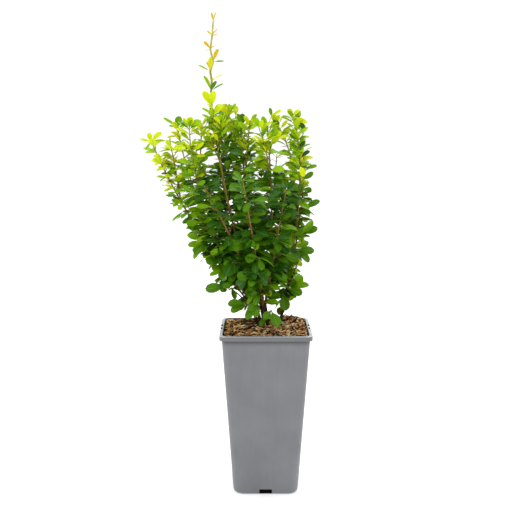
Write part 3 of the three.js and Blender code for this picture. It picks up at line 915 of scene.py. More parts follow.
class Surface:
    """Corners and faces gathered from many small pieces."""

    def __init__(self):
        self.corners = []
        self.faces = []
        self.kinds = []
        self.count = 0

    def add(self, corners, faces, kinds=None):
        self.corners.append(np.asarray(corners, float))
        self.faces.extend([tuple(corner + self.count for corner in face) for face in faces])
        self.kinds.extend(kinds if kinds is not None else [0] * len(faces))
        self.count += len(corners)

    def make(self, name, materials, smooth_below):
        """One piece in metres, with edges sharp where faces meet at more than an angle in degrees."""
        mesh = bpy.data.meshes.new(name)
        mesh.from_pydata((np.concatenate(self.corners) * MM).tolist(), [], self.faces)
        for material in materials:
            mesh.materials.append(material)
        mesh.polygons.foreach_set("material_index", self.kinds)
        piece = bpy.data.objects.new(name, mesh)
        bpy.context.collection.objects.link(piece)
        select_only(piece)
        bpy.ops.object.shade_smooth_by_angle(angle=math.radians(smooth_below))
        return piece


def add_tube(surface, path, radii, sides, relief, rng):
    """A closed tube along a path, with ridges that run along it."""
    path = np.asarray(path, float)
    directions = np.gradient(path, axis=0)
    directions /= np.linalg.norm(directions, axis=1)[:, None]
    angles = 2 * np.pi * np.arange(sides) / sides
    ridges = 1 + relief * rng.uniform(-1, 1, sides)
    rows = []
    side = side_of(directions[0])
    for middle, direction, radius in zip(path, directions, radii):
        side = square_to(side, direction)
        other = np.cross(direction, side)
        ridges = (1 - RIDGE_CHANGE) * ridges + RIDGE_CHANGE * (1 + relief * rng.uniform(-1, 1, sides))
        swell = radius * ridges * (1 + RING_RELIEF * relief * rng.uniform(-1, 1))
        ring = np.cos(angles)[:, None] * side + np.sin(angles)[:, None] * other
        rows.append(middle + swell[:, None] * ring)
    corners = np.concatenate(rows)
    faces = []
    for row in range(len(path) - 1):
        for i in range(sides):
            j = (i + 1) % sides
            base = row * sides
            faces.append((base + i, base + j, base + sides + j, base + sides + i))
    faces.append(tuple(reversed(range(sides))))
    faces.append(tuple(range(len(corners) - sides, len(corners))))
    surface.add(corners, faces)


def leaf_faces():
    """The faces of one leaf: the upper face in five strips, the underside in two, and both ends."""
    columns = len(LEAF_ACROSS)
    rows = len(LEAF_STATIONS)
    keel = rows * columns
    faces = []
    kinds = []
    for row in range(rows - 1):
        for column in range(columns - 1):
            a = row * columns + column
            faces.append((a, a + columns, a + columns + 1, a + 1))
            kinds.append(RIB if row == 0 or column == columns // 2 - 1 else UPPER)
        first = row * columns
        last = first + columns - 1
        faces.append((first, keel + row, keel + row + 1, first + columns))
        faces.append((keel + row, last, last + columns, keel + row + 1))
        kinds += [UNDER, UNDER]
    faces.append((*range(columns), keel))
    faces.append((*reversed(range((rows - 1) * columns, rows * columns)), keel + rows - 1))
    return faces, kinds + [RIB, UPPER]


LEAF_FACES, LEAF_KINDS = leaf_faces()
LEAF_TIP = len(LEAF_STATIONS) * len(LEAF_ACROSS) - len(LEAF_ACROSS) // 2


def seen_at(point):
    """Where the camera sees a point against the pot's middle plane."""
    eye = np.array(CAMERA_PLACE)
    return eye + (point - eye) * eye[1] / (eye[1] - point[1])


def is_sky(point, inside):
    """Whether the camera sees a point against the sky, or not far enough inside the outline."""
    seen = seen_at(point)
    heights, lefts, rights = zip(*OUTLINE)
    left = np.interp(seen[2], heights, lefts) + inside
    right = np.interp(seen[2], heights, rights) - inside
    if not left < seen[0] < right:
        return True
    for x, z, wide, high in SKY.values():
        if ((seen[0] - x) / wide) ** 2 + ((seen[2] - z) / high) ** 2 < 1:
            return True
    return False


def tint_height(point):
    """The height whose tints a place takes: raised at the sides as painted light, lowered near the axis and
    at the front as painted shade.
    """
    if point[1] < FRONT_BEFORE:
        return FRONT_SHADE_TINTS_AT
    rise = max(point[2] - AXIS_BELOW, 0)
    off = abs(point[0] - AXIS_FOOT + AXIS_LEAN * rise)
    outer = min(off / (REACH_BELOW + REACH_GROWTH * rise), 1)
    change = between(SIDE_LIGHT_RAISINGS, point[2]) * (outer - OUTER_FROM)
    if point[2] > INNER_ABOVE:
        return point[2] + change * (1 if change > 0 else INNER_SHADE_LOWERING)
    return min(point[2] + max(change, 0), LOW_TINTS_MOST)


def pick_tint(height, rng):
    seen = height + rng.normal(0, TINT_PLAY)
    heights, rows = zip(*TINT_SHARES)
    shares = [np.interp(seen, heights, column) for column in zip(*rows)]
    return LEAF_TINTS[int(rng.choice(len(LEAF_TINTS), p=np.array(shares) / sum(shares)))]


def leaf_corners(leaf):
    """The corners of one leaf, which arches down along its length and folds up from its midrib."""
    share = np.array(LEAF_STATIONS)
    half = np.array(LEAF_WIDTHS) * leaf["width"] / 2
    bend = leaf["curl"] * share
    curl = leaf["curl"] if abs(leaf["curl"]) > LEAST_CURL else LEAST_CURL
    run = leaf["length"] * np.sin(curl * share) / curl
    drop = -leaf["length"] * (1 - np.cos(curl * share)) / curl
    across = np.array(LEAF_ACROSS)
    y = half[:, None] * across[None, :]
    fold = leaf["cup"] * np.abs(across[None, :]) ** LEAF_FOLD_POWER * half[:, None]
    fold = fold + leaf["twist"] * share[:, None] * y
    x = run[:, None] + fold * np.sin(bend)[:, None]
    z = drop[:, None] + fold * np.cos(bend)[:, None]
    thick = LEAF_THICKNESS * np.minimum(1, half / half.max() + LEAF_EDGE_THICKNESS)
    upper = np.stack((x, y, z), axis=-1).reshape(-1, 3)
    keel = np.stack((run - thick * np.sin(bend), 0 * run, drop - thick * np.cos(bend)), axis=-1)
    local = np.concatenate((upper, keel))
    basis = np.stack((leaf["along"], np.cross(leaf["face"], leaf["along"]), leaf["face"]))
    return leaf["root"] + local @ basis


def node_places(curve):
    """How far along a shoot its nodes lie."""
    end = min(curve.length - LAST_NODE, curve.length * curve.share_at(LEADER_ABOVE))
    spots = []
    spot = FIRST_NODE
    while spot < end:
        spots.append(spot)
        spot += between(NODE_SPACINGS, curve.point(spot / curve.length)[2])
    return spots


class Plant:
    """The shrub as it grows: shoots, twigs, spines and leaves by tint."""

    def __init__(self):
        self.stems = Surface()
        self.shoots = Surface()
        self.spines = Surface()
        self.leaves = {tint: Surface() for tint in LEAF_TINTS}
        self.leader = None

    def grow_stem(self, curve, seed):
        rng = np.random.default_rng(seed)
        shares = np.linspace(0, 1, int(curve.length / STEM_RING_SPACING))
        path = [curve.point(s) for s in shares]
        radii = [stem_radius(s, curve.length) for s in shares]
        path.insert(0, path[0] - (0, 0, STEM_ROOTED))
        radii.insert(0, radii[0] * STEM_ROOT_SWELL)
        add_tube(self.stems, path, radii, STEM_SIDES, STEM_RELIEF, rng)

    def grow_shoot(self, curve, seed, radius, sunk=0, raising=0, tip_leaves=()):
        """A shoot with rosettes, spines and twigs. Its tip has a rosette or leaves laid one by one."""
        rng = np.random.default_rng(seed)
        spots = node_places(curve)
        is_leader = curve.end[2] > LEADER_ABOVE
        tip_radius = SHOOT_TIP_RADIUS
        if is_leader:
            radius = LEADER_RADIUS
            tip_radius = LEADER_TIP_RADIUS
        self.add_shoot(curve, spots, radius, tip_radius, sunk, rng)
        tip_tints = (TIP_TINTS_AT + curve.end[2]) / 2 if curve.end[2] > FRESH_ABOVE else 0
        for node, distance in enumerate(spots):
            share = distance / curve.length
            root = curve.point(share)
            direction = curve.direction(share)
            heading = seed + node * GOLDEN_ANGLE
            thickness = radius + (SHOOT_TIP_RADIUS - radius) * share**2
            tints_at = max(tint_height(root), tip_tints - curve.length + distance) + raising * share
            self.add_rosette(root, direction, heading, thickness, tints_at, rng)
            if root[2] > SPINES_ABOVE:
                self.add_spines(root, direction, heading, thickness, rng)
            is_low_enough = share < TWIG_SHARE_MOST and root[2] < TWIG_HEIGHT_MOST
            if node % TWIG_EVERY == TWIG_OFFSET and is_low_enough:
                self.grow_twig(root, direction, heading + math.pi, share, tints_at, rng)
        tip = curve.point(1 - TIP_SINK / curve.length)
        if is_leader:
            self.lay_leader_top(curve, rng)
        elif tip_leaves:
            self.lay_spray(tip, tip_leaves, rng)
        else:
            tints_at = max(tint_height(tip), tip_tints) + raising
            direction = curve.direction(1)
            self.add_rosette(tip, direction, seed, SHOOT_TIP_RADIUS, tints_at, rng, TIP_LEAVES, TIP_SIZE)

    def add_shoot(self, curve, spots, radius, tip_radius, sunk, rng):
        shares = np.linspace(0, 1, max(SHOOT_RINGS_LEAST, int(curve.length / RING_SPACING)))
        path = [curve.point(s) for s in shares]
        radii = []
        for share in shares:
            offsets = [(share * curve.length - spot) / NODE_SWELL_REACH for spot in spots]
            swell = sum(NODE_SWELL * math.exp(-(offset**2)) for offset in offsets)
            radii.append((radius + (tip_radius - radius) * share**2) * (1 + swell))
        if sunk:
            path.insert(0, path[0] - sunk * curve.direction(0))
            radii.insert(0, radii[0])
        add_tube(self.shoots, path, radii, SHOOT_SIDES, SHOOT_RELIEF, rng)

    def grow_twig(self, root, direction, heading, share, tints_at, rng):
        outward = outward_from(direction, heading)
        reach = (TWIG_LENGTHS[0] * (1 - share) + TWIG_LENGTHS[1] * share) * rng.uniform(*TWIG_LENGTH_PLAY)
        lift = TWIG_LIFT + rng.uniform(-TWIG_LIFT_PLAY, TWIG_LIFT_PLAY)
        course = unit(outward * math.cos(lift) + direction * math.sin(lift))
        end = root + course * reach
        if is_sky(end, EDGE_THINNING):
            return
        curve = self.add_twig(root, end, rng)
        end_tints_at = max(tints_at, tint_height(end))
        self.add_rosette(end - course, curve.direction(1), heading, TWIG_TIP_RADIUS, end_tints_at, rng)
        if reach > TWIG_LEAVES_FROM:
            middle = curve.point(TWIG_LEAVES_AT)
            direction = curve.direction(TWIG_LEAVES_AT)
            heading += TWIG_LEAVES_TURN
            self.add_rosette(middle, direction, heading, TWIG_RADIUS, tints_at, rng, TWIG_LEAVES)

    def add_twig(self, root, end, rng):
        reach = np.linalg.norm(end - root)
        curve = Bow(root, (root + end) / 2 - (0, 0, TWIG_SAG * reach), end)
        shares = np.linspace(0, 1, max(TWIG_RINGS_LEAST, int(reach / RING_SPACING)))
        radii = [TWIG_RADIUS + (TWIG_TIP_RADIUS - TWIG_RADIUS) * s for s in shares]
        add_tube(self.shoots, [curve.point(s) for s in shares], radii, TWIG_SIDES, SHOOT_RELIEF, rng)
        return curve

    def add_spines(self, root, direction, heading, thickness, rng):
        for turn in (-SPINE_SPREAD, SPINE_SPREAD) if rng.random() < SPINE_PAIRS else (0,):
            outward = outward_from(direction, heading + SPINE_TURN + turn)
            course = unit(outward + SPINE_LIFT * direction)
            length = rng.uniform(*SPINE_LENGTHS)
            start = root + outward * thickness * SPINE_SUNK
            path = [start + course * length * share for share in SPINE_SHARES]
            add_tube(self.spines, path, SPINE_RADII, SPINE_SIDES, 0, rng)

    def add_rosette(self, root, direction, heading, thickness, tints_at, rng, most=None, size=1.0):
        count = int(between(LEAF_COUNTS, root[2]) + rng.uniform(0, ROSETTE_PLAY))
        count = min(count, most or len(ROSETTE_SHARES))
        tint = pick_tint(tints_at, rng)
        for i in range(count):
            turn = heading + 2 * math.pi * i / count + rng.uniform(-ROSETTE_TURN, ROSETTE_TURN)
            turn -= SIDEWAYS * math.sin(2 * turn)
            self.add_leaf(root, direction, turn, thickness, size * ROSETTE_SHARES[i], tint, rng)

    def add_leaf(self, root, direction, heading, thickness, size, tint, rng):
        """A leaf at a node, of a share of the full size there. Smaller, inner leaves stand up more."""
        height = root[2]
        lift = between(LEAF_LIFTS, height) + INNER_LIFT * (1 - size) + rng.normal(0, LIFT_PLAY)
        lift = math.radians(lift)
        size *= rng.uniform(*LEAF_SIZES)
        rise = unit(LEAF_LEAN * direction + (0, 0, 1))
        outward = outward_from(rise, heading)
        along = unit(outward * math.cos(lift) + rise * math.sin(lift))
        radial = unit(np.array((root[0] - SHRUB_MIDDLE, root[1], 0.0)) + NOT_ZERO)
        tilt = between(LEAF_TILTS, height)
        side = math.tanh((root[1] - HALF_WAY) / HALF_BLEND)
        lean = radial * rng.uniform(*LEAN_OUT) + (-FACE_LEFT, FACE_OUT * side, 0)
        sky = unit(np.array((0, 0, 1.0)) + tilt * lean)
        upper = rise * math.cos(lift) - outward * math.sin(lift)
        face = square_to(unit(upper * OWN_FACE + sky * SKY_FACE), along)
        face = turned(face, along, rng.normal(0, between(LEAF_ROLLS, height)))
        length = between(LEAF_LENGTHS, height) * size
        leaf = {
            "root": root + outward * thickness * LEAF_SUNK,
            "along": along,
            "face": face,
            "length": length,
            "width": length * between(LEAF_WIDTH_SHARES, height) * rng.uniform(*WIDTH_PLAY),
            "curl": math.radians(between(LEAF_CURLS, height) + rng.normal(0, CURL_PLAY)),
            "cup": rng.uniform(*LEAF_CUPS),
            "twist": rng.normal(0, LEAF_TWIST),
        }
        corners = leaf_corners(leaf)
        play = rng.uniform(*EDGE_PLAY)
        is_clear = corners[:, 2].min() > GROUND + LEAF_CLEARANCE
        if is_clear and not self.is_in_the_way(corners.mean(axis=0), corners[LEAF_TIP], play):
            self.leaves[tint].add(corners, LEAF_FACES, LEAF_KINDS)

    def is_in_the_way(self, middle, tip, play):
        """Whether a leaf would hide the sky, the leader or the bare feet of the stems."""
        if middle[2] < BARE_BELOW and middle[1] < BARE_BEFORE:
            return True
        if is_sky(middle, EDGE_THINNING) or is_sky(tip, play):
            return True
        return self.hides_leader(middle) or self.hides_leader(tip)

    def hides_leader(self, point):
        """Whether the camera sees a point in front of the part of the leader that shows."""
        seen = seen_at(point)
        if point[1] > LEADER_FRONT or not LEADER_SHOWS[0] < seen[2] < LEADER_SHOWS[1]:
            return False
        return abs(seen[0] - np.interp(seen[2], self.leader[:, 2], self.leader[:, 0])) < LEADER_CLEARANCE

    def lay_leaf(self, root, tip, width, tint, facing, rng):
        """A leaf from its root to its tip, with its face turned one way."""
        reach = np.linalg.norm(tip - root)
        chord = (tip - root) / reach
        face = turned(square_to(np.array(facing), chord), chord, rng.normal(0, LAID_ROLL))
        half = math.radians(rng.uniform(*LAID_CURLS)) / 2
        leaf = {
            "root": root,
            "along": chord * math.cos(half) + face * math.sin(half),
            "face": face * math.cos(half) - chord * math.sin(half),
            "length": reach * half / math.sin(half),
            "width": width,
            "curl": 2 * half,
            "cup": rng.uniform(*LAID_CUPS),
            "twist": rng.normal(0, LAID_TWIST),
        }
        self.leaves[tint].add(leaf_corners(leaf), LEAF_FACES, LEAF_KINDS)

    def lay_spray(self, root, leaves, rng):
        for x, y, z, width, tint in leaves:
            self.lay_leaf(root, np.array((x, y, z), float), width, tint, LAID_FACING, rng)

    def lay_leader_top(self, curve, rng):
        for height, bend, leaves in LEADER_TOP:
            root = curve.point(curve.share_at(height))
            for sideways, up, forward, width, tint in leaves:
                tip = root + (sideways, -forward, up)
                facing = (-LEADER_OPENING * sideways, -LEADER_FACING - forward, LEADER_FACING)
                self.lay_leaf(root, tip, width, tint, facing, rng)


def grow_plant():
    plant = Plant()
    stems = {name: stem_curve(stem) for name, stem in STEMS.items()}
    curves = {}
    for i, (name, stem) in enumerate(STEMS.items()):
        plant.grow_stem(stems[name], STEM_SEED + i)
        curves.update(shoot_curves(stem, stems[name]))
    shares = np.linspace(0, 1, LEADER_STEPS + 1)
    plant.leader = np.array([seen_at(curves["leader"].point(share)) for share in shares])
    for seed, (name, curve) in enumerate(curves.items(), 1):
        raising = TIP_TINT_RAISINGS.get(name, 0)
        plant.grow_shoot(curve, seed, SHOOT_RADIUS, SHOOT_SUNK, raising, TIP_SPRAYS.get(name, ()))
    for seed, (parent, share, tip) in enumerate(FINE_SHOOTS, len(curves) + 1):
        plant.grow_shoot(side_shoot_curve(curves[parent], share, tip), seed, FINE_SHOOT_RADIUS)

    rng = np.random.default_rng(LAID_SEED)
    for name, (stem, share, tip) in LOW_SHOOTS.items():
        curve = side_shoot_curve(stems[stem], share, tip)
        curves[name] = curve
        if name in BARE_SHOOTS:
            reach = max(spray[1] for spray in LAID_SPRAYS if spray[0] == name)
            bare = Bow(curve.start, curve.point(reach / 2), curve.point(reach))
            plant.add_shoot(bare, [], LOW_SHOOT_RADIUS, SHOOT_TIP_RADIUS, 0, rng)
        else:
            plant.grow_shoot(curve, int(LOW_SEEDS_PER_MM * curve.length), LOW_SHOOT_RADIUS)
    for parent, share, end, leaves in LAID_SPRAYS:
        end = np.array(end, float)
        plant.add_twig(curves[parent].point(share), end, rng)
        plant.lay_spray(end, leaves, rng)
    return plant


def body_ring(z, inset):
    """The side, the corner's radius and the height of the pot's body, drawn in by an inset."""
    share = z / BODY_TOP
    side = FOOT_SIDE + (BODY_TOP_SIDE - FOOT_SIDE) * share
    corner = FOOT_CORNER + (TOP_CORNER - FOOT_CORNER) * share
    return side - 2 * inset, corner - inset, z


def edge_distance(x, y, side, corner):
    """How far a point lies outside a square with round corners, or inside where it is less than 0."""
    over_x = abs(x) - (side / 2 - corner)
    over_y = abs(y) - (side / 2 - corner)
    return math.hypot(max(over_x, 0), max(over_y, 0)) + min(max(over_x, over_y), 0) - corner


def pulled_in(x, y, side, corner):
    """A point, moved onto the round corner of a square where it lies outside it."""
    over = edge_distance(x, y, side, corner)
    if over <= 0:
        return x, y
    middle = Vector((math.copysign(side / 2 - corner, x), math.copysign(side / 2 - corner, y)))
    return middle + (Vector((x, y)) - middle) * corner / (corner + over)


def add_ring(ring):
    """In edit mode: a square loop of edges with rounded corners, all selected."""
    side, corner, z = ring
    bpy.ops.mesh.select_all(action="DESELECT")
    bpy.ops.mesh.primitive_plane_add(size=side * MM, location=(0, 0, z * MM))
    bpy.ops.mesh.bevel(
        offset=corner * MM,
        offset_type="OFFSET",
        segments=CORNER_SEGMENTS,
        affect="VERTICES",
    )
    bpy.ops.mesh.delete(type="ONLY_FACE")


def select_rings(piece, rings):
    """In edit mode: selects the corners and edges that lie on any of the rings."""
    sheet = bmesh.from_edit_mesh(piece.data)
    for corner in sheet.verts:
        x, y, z = corner.co / MM
        corner.select = any(
            max(abs(z - height), abs(edge_distance(x, y, side, radius))) < ON_RING
            for side, radius, height in rings
        )
    sheet.select_flush_mode()
    bmesh.update_edit_mesh(piece.data)


def cut_away(piece, size, middle):
    """Cuts a block out of a piece. The cut's faces take the piece's second material, which is painted
    shade.
    """
    bpy.ops.object.select_all(action="DESELECT")
    bpy.ops.mesh.primitive_cube_add(
        size=1,
        location=[m * MM for m in middle],
        scale=[s * MM for s in size],
    )
    block = bpy.context.object
    block.data.materials.append(piece.data.materials[1])
    cut = piece.modifiers.new("cut", "BOOLEAN")
    cut.operation = "DIFFERENCE"
    cut.solver = "EXACT"
    cut.material_mode = "TRANSFER"
    cut.object = block
    bpy.context.view_layer.objects.active = piece
    bpy.ops.object.modifier_apply(modifier=cut.name)
    bpy.data.objects.remove(block)


def new_piece(name):
    """The primitive that was just added, under its own name."""
    piece = bpy.context.object
    piece.name = name
    piece.data.name = name
    return piece


def pot_rings():
    """The pot's outline from the underside over the rim and down to the floor inside."""
    turns = [math.pi / 2 * step / FOOT_STEPS for step in range(FOOT_STEPS + 1)]
    rings = [body_ring(FOOT_ROUNDING * (1 - math.cos(t)), FOOT_ROUNDING * (1 - math.sin(t))) for t in turns]
    rings += [body_ring(BODY_TOP * share, 0) for share in BODY_RINGS]
    rings.append((RIM_SIDE, RIM_CORNER, BODY_TOP))
    rings.append((RIM_SIDE, RIM_CORNER, POT_HEIGHT - RIM_EDGE))
    rings.append((RIM_SIDE - 2 * RIM_EDGE, RIM_CORNER - RIM_EDGE, POT_HEIGHT))
    lip_side, lip_corner = body_ring(POT_HEIGHT, WALL)[:2]
    rings.append((lip_side + RIM_EDGE, lip_corner, POT_HEIGHT))
    rings.append((lip_side, lip_corner, POT_HEIGHT - RIM_EDGE))
    rings.append(body_ring(FLOOR + FOOT_CHAMFER, WALL))
    rings.append(body_ring(FLOOR, WALL + FOOT_CHAMFER))
    return rings


def make_pot():
    """A tub of rings bridged one to the next, with a hollowed underside."""
    rings = pot_rings()
    bpy.ops.object.select_all(action="DESELECT")
    bpy.ops.mesh.primitive_plane_add(size=1)
    pot = new_piece("pot_tub")
    bpy.ops.object.mode_set(mode="EDIT")
    bpy.ops.mesh.select_mode(type="VERT")
    bpy.ops.mesh.delete(type="VERT")
    for ring in rings:
        add_ring(ring)
    for lower, upper in zip(rings, rings[1:]):
        select_rings(pot, [lower, upper])
        bpy.ops.mesh.bridge_edge_loops()
    for end in (rings[0], rings[-1]):
        select_rings(pot, [end])
        bpy.ops.mesh.edge_face_add()
    bpy.ops.mesh.select_all(action="SELECT")
    bpy.ops.mesh.normals_make_consistent(inside=False)
    select_rings(pot, [rings[0]])
    bpy.ops.mesh.inset(thickness=UNDERSIDE_INSET * MM)
    bpy.ops.mesh.inset(thickness=UNDERSIDE_HOLLOW * MM / 2, depth=-UNDERSIDE_HOLLOW * MM)
    bpy.ops.object.mode_set(mode="OBJECT")
    pot.data.materials.append(pot_plastic())
    # The faces of the drain slots and rim notches get a dark colour: painted shade inside them
    pot.data.materials.append(Finish("pot_cut_shade", Base_Color=CUT_SHADE_COLOR, Roughness=0.9).material)
    cut_openings(pot)
    soften(pot)
    return pot


def cut_openings(pot):
    """A drain slot at the foot of each side, and two clip notches in the rim at the left and right."""
    drain_reach = DRAIN_DEPTH + CUT_PAST
    drain_middle = FOOT_SIDE / 2 + CUT_PAST - drain_reach / 2
    drain_height = DRAIN_HEIGHT - DRAIN_SILL
    drain_z = (DRAIN_HEIGHT + DRAIN_SILL) / 2
    notch_reach = NOTCH_DEPTH + CUT_PAST
    notch_middle = RIM_SIDE / 2 + CUT_PAST - notch_reach / 2
    notch_height = RIM_HEIGHT + 2 * CUT_PAST
    notch_z = POT_HEIGHT - RIM_HEIGHT / 2
    drain = (DRAIN_WIDTH, drain_reach, drain_height)
    side_drain = (drain_reach, DRAIN_WIDTH, drain_height)
    notch = (notch_reach, NOTCH_LENGTH, notch_height)
    for side in (-1, 1):
        cut_away(pot, drain, (0, side * drain_middle, drain_z))
        cut_away(pot, side_drain, (side * drain_middle, 0, drain_z))
        for along in (-NOTCH_SPACING / 2, NOTCH_SPACING / 2):
            cut_away(pot, notch, (side * notch_middle, along, notch_z))


def soften(pot):
    """Rounds the sharp edges a little, and shades the rest smooth."""
    select_only(pot)
    bevel = pot.modifiers.new("soften", "BEVEL")
    bevel.width = EDGE_SOFTENING * MM
    bevel.segments = EDGE_SEGMENTS
    bevel.limit_method = "ANGLE"
    bevel.angle_limit = math.radians(EDGE_ANGLE)
    bevel.harden_normals = False
    bpy.ops.object.modifier_apply(modifier=bevel.name)
    bpy.ops.object.shade_smooth_by_angle(angle=math.radians(POT_SMOOTH))


def swelling(x, y, mound):
    """How far a mound rises at a place."""
    distance = math.hypot(x - mound["place"][0], y - mound["place"][1])
    return mound["height"] * math.exp(-((distance / mound["reach"]) ** 2))


def bed_outline():
    return body_ring(BED_EDGE_HEIGHT, WALL + GAP)[:2]


def bed_height(x, y):
    """The height of the mulch at a place: a low mound with a heap and a dip at the back."""
    inside = min(1.0, max(0.0, -edge_distance(x, y, *bed_outline()) / BED_SHOULDER))
    rise = BED_EDGE_HEIGHT + (BED_TOP_HEIGHT - BED_EDGE_HEIGHT) * math.sin(inside * math.pi / 2)
    return rise + swelling(x, y, HEAP) + swelling(x, y, DIP)


def make_bed():
    """Fine mulch that fills the pot: a grid shaped to the pot, made rough, and drawn down to the floor."""
    rng = random.Random(BED_SEED)
    side, corner = bed_outline()
    bpy.ops.object.select_all(action="DESELECT")
    bpy.ops.mesh.primitive_grid_add(
        x_subdivisions=BED_DIVISIONS,
        y_subdivisions=BED_DIVISIONS,
        size=side * MM,
    )
    bed = new_piece("mulch_bed")
    bpy.ops.object.mode_set(mode="EDIT")
    sheet = bmesh.from_edit_mesh(bed.data)
    for point in sheet.verts:
        x, y = point.co.x / MM, point.co.y / MM
        is_inside = edge_distance(x, y, side, corner) < -BED_SMOOTH_EDGE
        x, y = pulled_in(x, y, side, corner)
        rough = BED_ROUGHNESS * rng.uniform(-1, 1) if is_inside else 0
        point.co = Vector((x, y, bed_height(x, y) + rough)) * MM
    for edge in sheet.edges:
        edge.select = edge.is_boundary
    bmesh.update_edit_mesh(bed.data)
    bpy.ops.mesh.select_mode(type="EDGE")
    lower_rings = [
        body_ring(FLOOR + GAP + FOOT_CHAMFER, WALL + GAP),
        body_ring(FLOOR + GAP, WALL + GAP + FOOT_CHAMFER),
    ]
    for low_side, low_corner, low in lower_rings:
        bpy.ops.mesh.extrude_edges_move()
        sheet = bmesh.from_edit_mesh(bed.data)
        for point in sheet.verts:
            if point.select:
                x, y = point.co.x * low_side / side / MM, point.co.y * low_side / side / MM
                x, y = pulled_in(x, y, low_side, low_corner)
                point.co = Vector((x, y, low)) * MM
        bmesh.update_edit_mesh(bed.data)
        side = low_side
    bpy.ops.mesh.edge_face_add()
    bpy.ops.mesh.select_all(action="SELECT")
    bpy.ops.mesh.normals_make_consistent(inside=False)
    bpy.ops.object.mode_set(mode="OBJECT")
    bpy.ops.object.shade_smooth_by_angle(angle=math.radians(BED_SMOOTH))
    bed.data.materials.append(bed_mulch())
    return bed


def make_chips():
    """Bark chips strewn over the bed, by colour."""
    rng = np.random.default_rng(CHIP_SEED)
    names = list(CHIP_COLORS)
    piles = {name: Surface() for name in names}
    side, corner = bed_outline()
    count = len(CHIP_OUTLINE)
    faces = [tuple(range(count, 2 * count)), tuple(reversed(range(count)))]
    faces += [(i, (i + 1) % count, count + (i + 1) % count, count + i) for i in range(count)]
    laid = 0
    while laid < CHIP_COUNT:
        x, y = rng.uniform(-side / 2, side / 2, 2)
        length = CHIP_LENGTHS[0] + (CHIP_LENGTHS[1] - CHIP_LENGTHS[0]) * rng.random() ** CHIP_LENGTH_POWER
        width = max(CHIP_WIDTH_LEAST, length * rng.uniform(*CHIP_WIDTH_SHARES))
        thickness = rng.uniform(*CHIP_THICKNESS)
        uneven = rng.uniform(-CHIP_UNEVENNESS, CHIP_UNEVENNESS, (count, 2))
        outline = (np.array(CHIP_OUTLINE) + uneven) * (length, width)
        bow = rng.uniform(*CHIP_BOWS) * (outline[:, 0] ** 2)
        lower = np.column_stack((outline, bow - thickness / 2))
        upper = np.column_stack((outline * CHIP_TOP_SHARE, bow + thickness / 2))
        turn = Matrix.Rotation(rng.uniform(0, 2 * math.pi), 3, "Z")
        for axis, share in CHIP_TILT_SHARES.items():
            turn = turn @ Matrix.Rotation(rng.normal(0, share) * CHIP_TILT, 3, axis)
        place = np.array((x, y, bed_height(x, y) + rng.uniform(*CHIP_LIFT)))
        corners = np.concatenate((lower, upper)) @ np.array(turn).T + place
        # Chips in the shade patch are drawn darker: painted shade under the plant and at the back-left
        shade_share = swelling(x, y, SHADE_PATCH)
        shares = (1 - shade_share) * np.array(CHIP_SHARES) + shade_share * np.array(SHADE_PATCH_CHIP_SHARES)
        name = names[int(rng.choice(len(names), p=shares))]
        if max(edge_distance(c[0], c[1], side, corner) for c in corners) > -CHIP_EDGE_GAP:
            continue
        piles[name].add(corners, faces)
        laid += 1
    return [
        piles[name].make(f"chips_{name}", [chip_bark(name, color)], CHIP_SMOOTH)
        for name, color in CHIP_COLORS.items()
    ]


def carry(piece, slot, *nodes):
    """Rides a piece on the one body in place of the solids it stands for, which it hides. The slot is not
    used.
    """
    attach(piece, "root")
    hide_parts(*nodes)


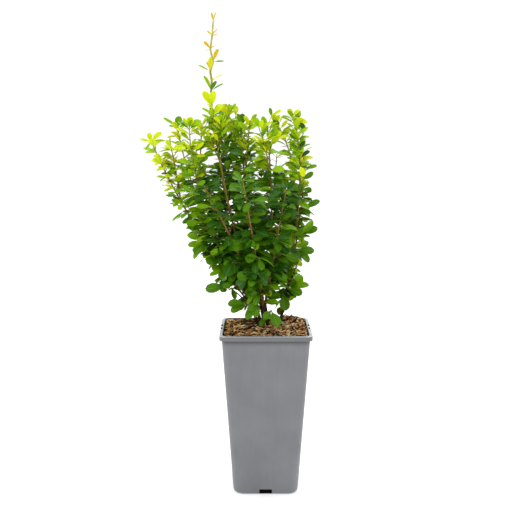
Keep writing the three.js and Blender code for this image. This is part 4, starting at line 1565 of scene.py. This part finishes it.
def dress():
    carry(make_pot(), "pot_plastic", "pot")
    carry(make_bed(), "bark_mulch", "potting_mix")
    for chips in make_chips():
        carry(chips, "bark_mulch", "potting_mix")

    plant = grow_plant()
    stem_nodes = [f"stem_{name}" for name in STEMS]
    mass_nodes = [f"foliage_{name}" for stem in STEMS.values() for name in stem["shoots"]]
    mass_nodes += [f"foliage_{name}" for name in LOW_SHOOTS]
    spine = Finish("spine", Base_Color=SPINE_COLOR, Roughness=0.5).material
    carry(plant.stems.make("stems", [stem_bark()], BARK_SMOOTH), "stem_bark", *stem_nodes)
    carry(plant.shoots.make("shoots", [shoot_bark()], BARK_SMOOTH), "stem_bark", *mass_nodes)
    carry(plant.spines.make("spines", [spine], BARK_SMOOTH), "stem_bark", *mass_nodes)
    for tint, surface in plant.leaves.items():
        carry(surface.make(f"leaves_{tint}", leaf_finishes(tint), LEAF_SMOOTH), "leaf", *mass_nodes)


def add_object(name, data, place, turn):
    thing = bpy.data.objects.new(name, data)
    thing.location = place
    thing.rotation_euler = turn
    bpy.context.collection.objects.link(thing)
    return thing


def add_camera():
    data = bpy.data.cameras.new("camera")
    data.lens = CAMERA_LENS
    data.sensor_width = SENSOR_WIDTH
    data.clip_start = CLIP_START * MM
    place = [value * MM for value in CAMERA_PLACE]
    bpy.context.scene.camera = add_object("camera", data, place, (math.pi / 2 - CAMERA_PITCH, 0, 0))


def add_lamp(name, place, aim, size, power):
    data = bpy.data.lights.new(name, "AREA")
    data.shape = "DISK"
    data.size = size
    data.energy = power
    add_object(name, data, place, (Vector(aim) - Vector(place)).to_track_quat("-Z", "Y").to_euler())


def add_floor():
    bpy.ops.object.select_all(action="DESELECT")
    bpy.ops.mesh.primitive_plane_add(size=FLOOR_SIZE)
    floor = bpy.context.object
    floor.name = "floor"
    glow = {"Emission_Color": WHITE, "Emission_Strength": FLOOR_GLOW}
    floor.data.materials.append(Finish("floor", Base_Color=FLOOR_COLOR, Roughness=0.9, **glow).material)


def add_daylight():
    """White light all round, which grows from the front to the back."""
    world = bpy.data.worlds.new("studio")
    bpy.context.scene.world = world
    world.use_nodes = True
    nodes = Nodes(world.node_tree)
    direction = nodes.node("ShaderNodeTexCoord", {}, {}, "Generated")
    dimming = {
        "Value": nodes.node("ShaderNodeSeparateXYZ", {}, {0: direction}, "Y"),
        "From Min": LIGHT_TURNS[0],
        "From Max": LIGHT_TURNS[1],
        "To Min": FRONT_LIGHT,
        "To Max": BACK_LIGHT,
    }
    sky = world.node_tree.nodes["Background"]
    nodes.feed(sky.inputs["Color"], WHITE)
    nodes.feed(sky.inputs["Strength"], nodes.node("ShaderNodeMapRange", {}, dimming))


def add_stage():
    add_floor()
    add_daylight()
    for name, lamp in LAMPS.items():
        add_lamp(name, **lamp)
    bpy.context.scene.view_settings.view_transform = "Standard"


add_camera()
add_stage()
dress()
bpy.context.view_layer.update()
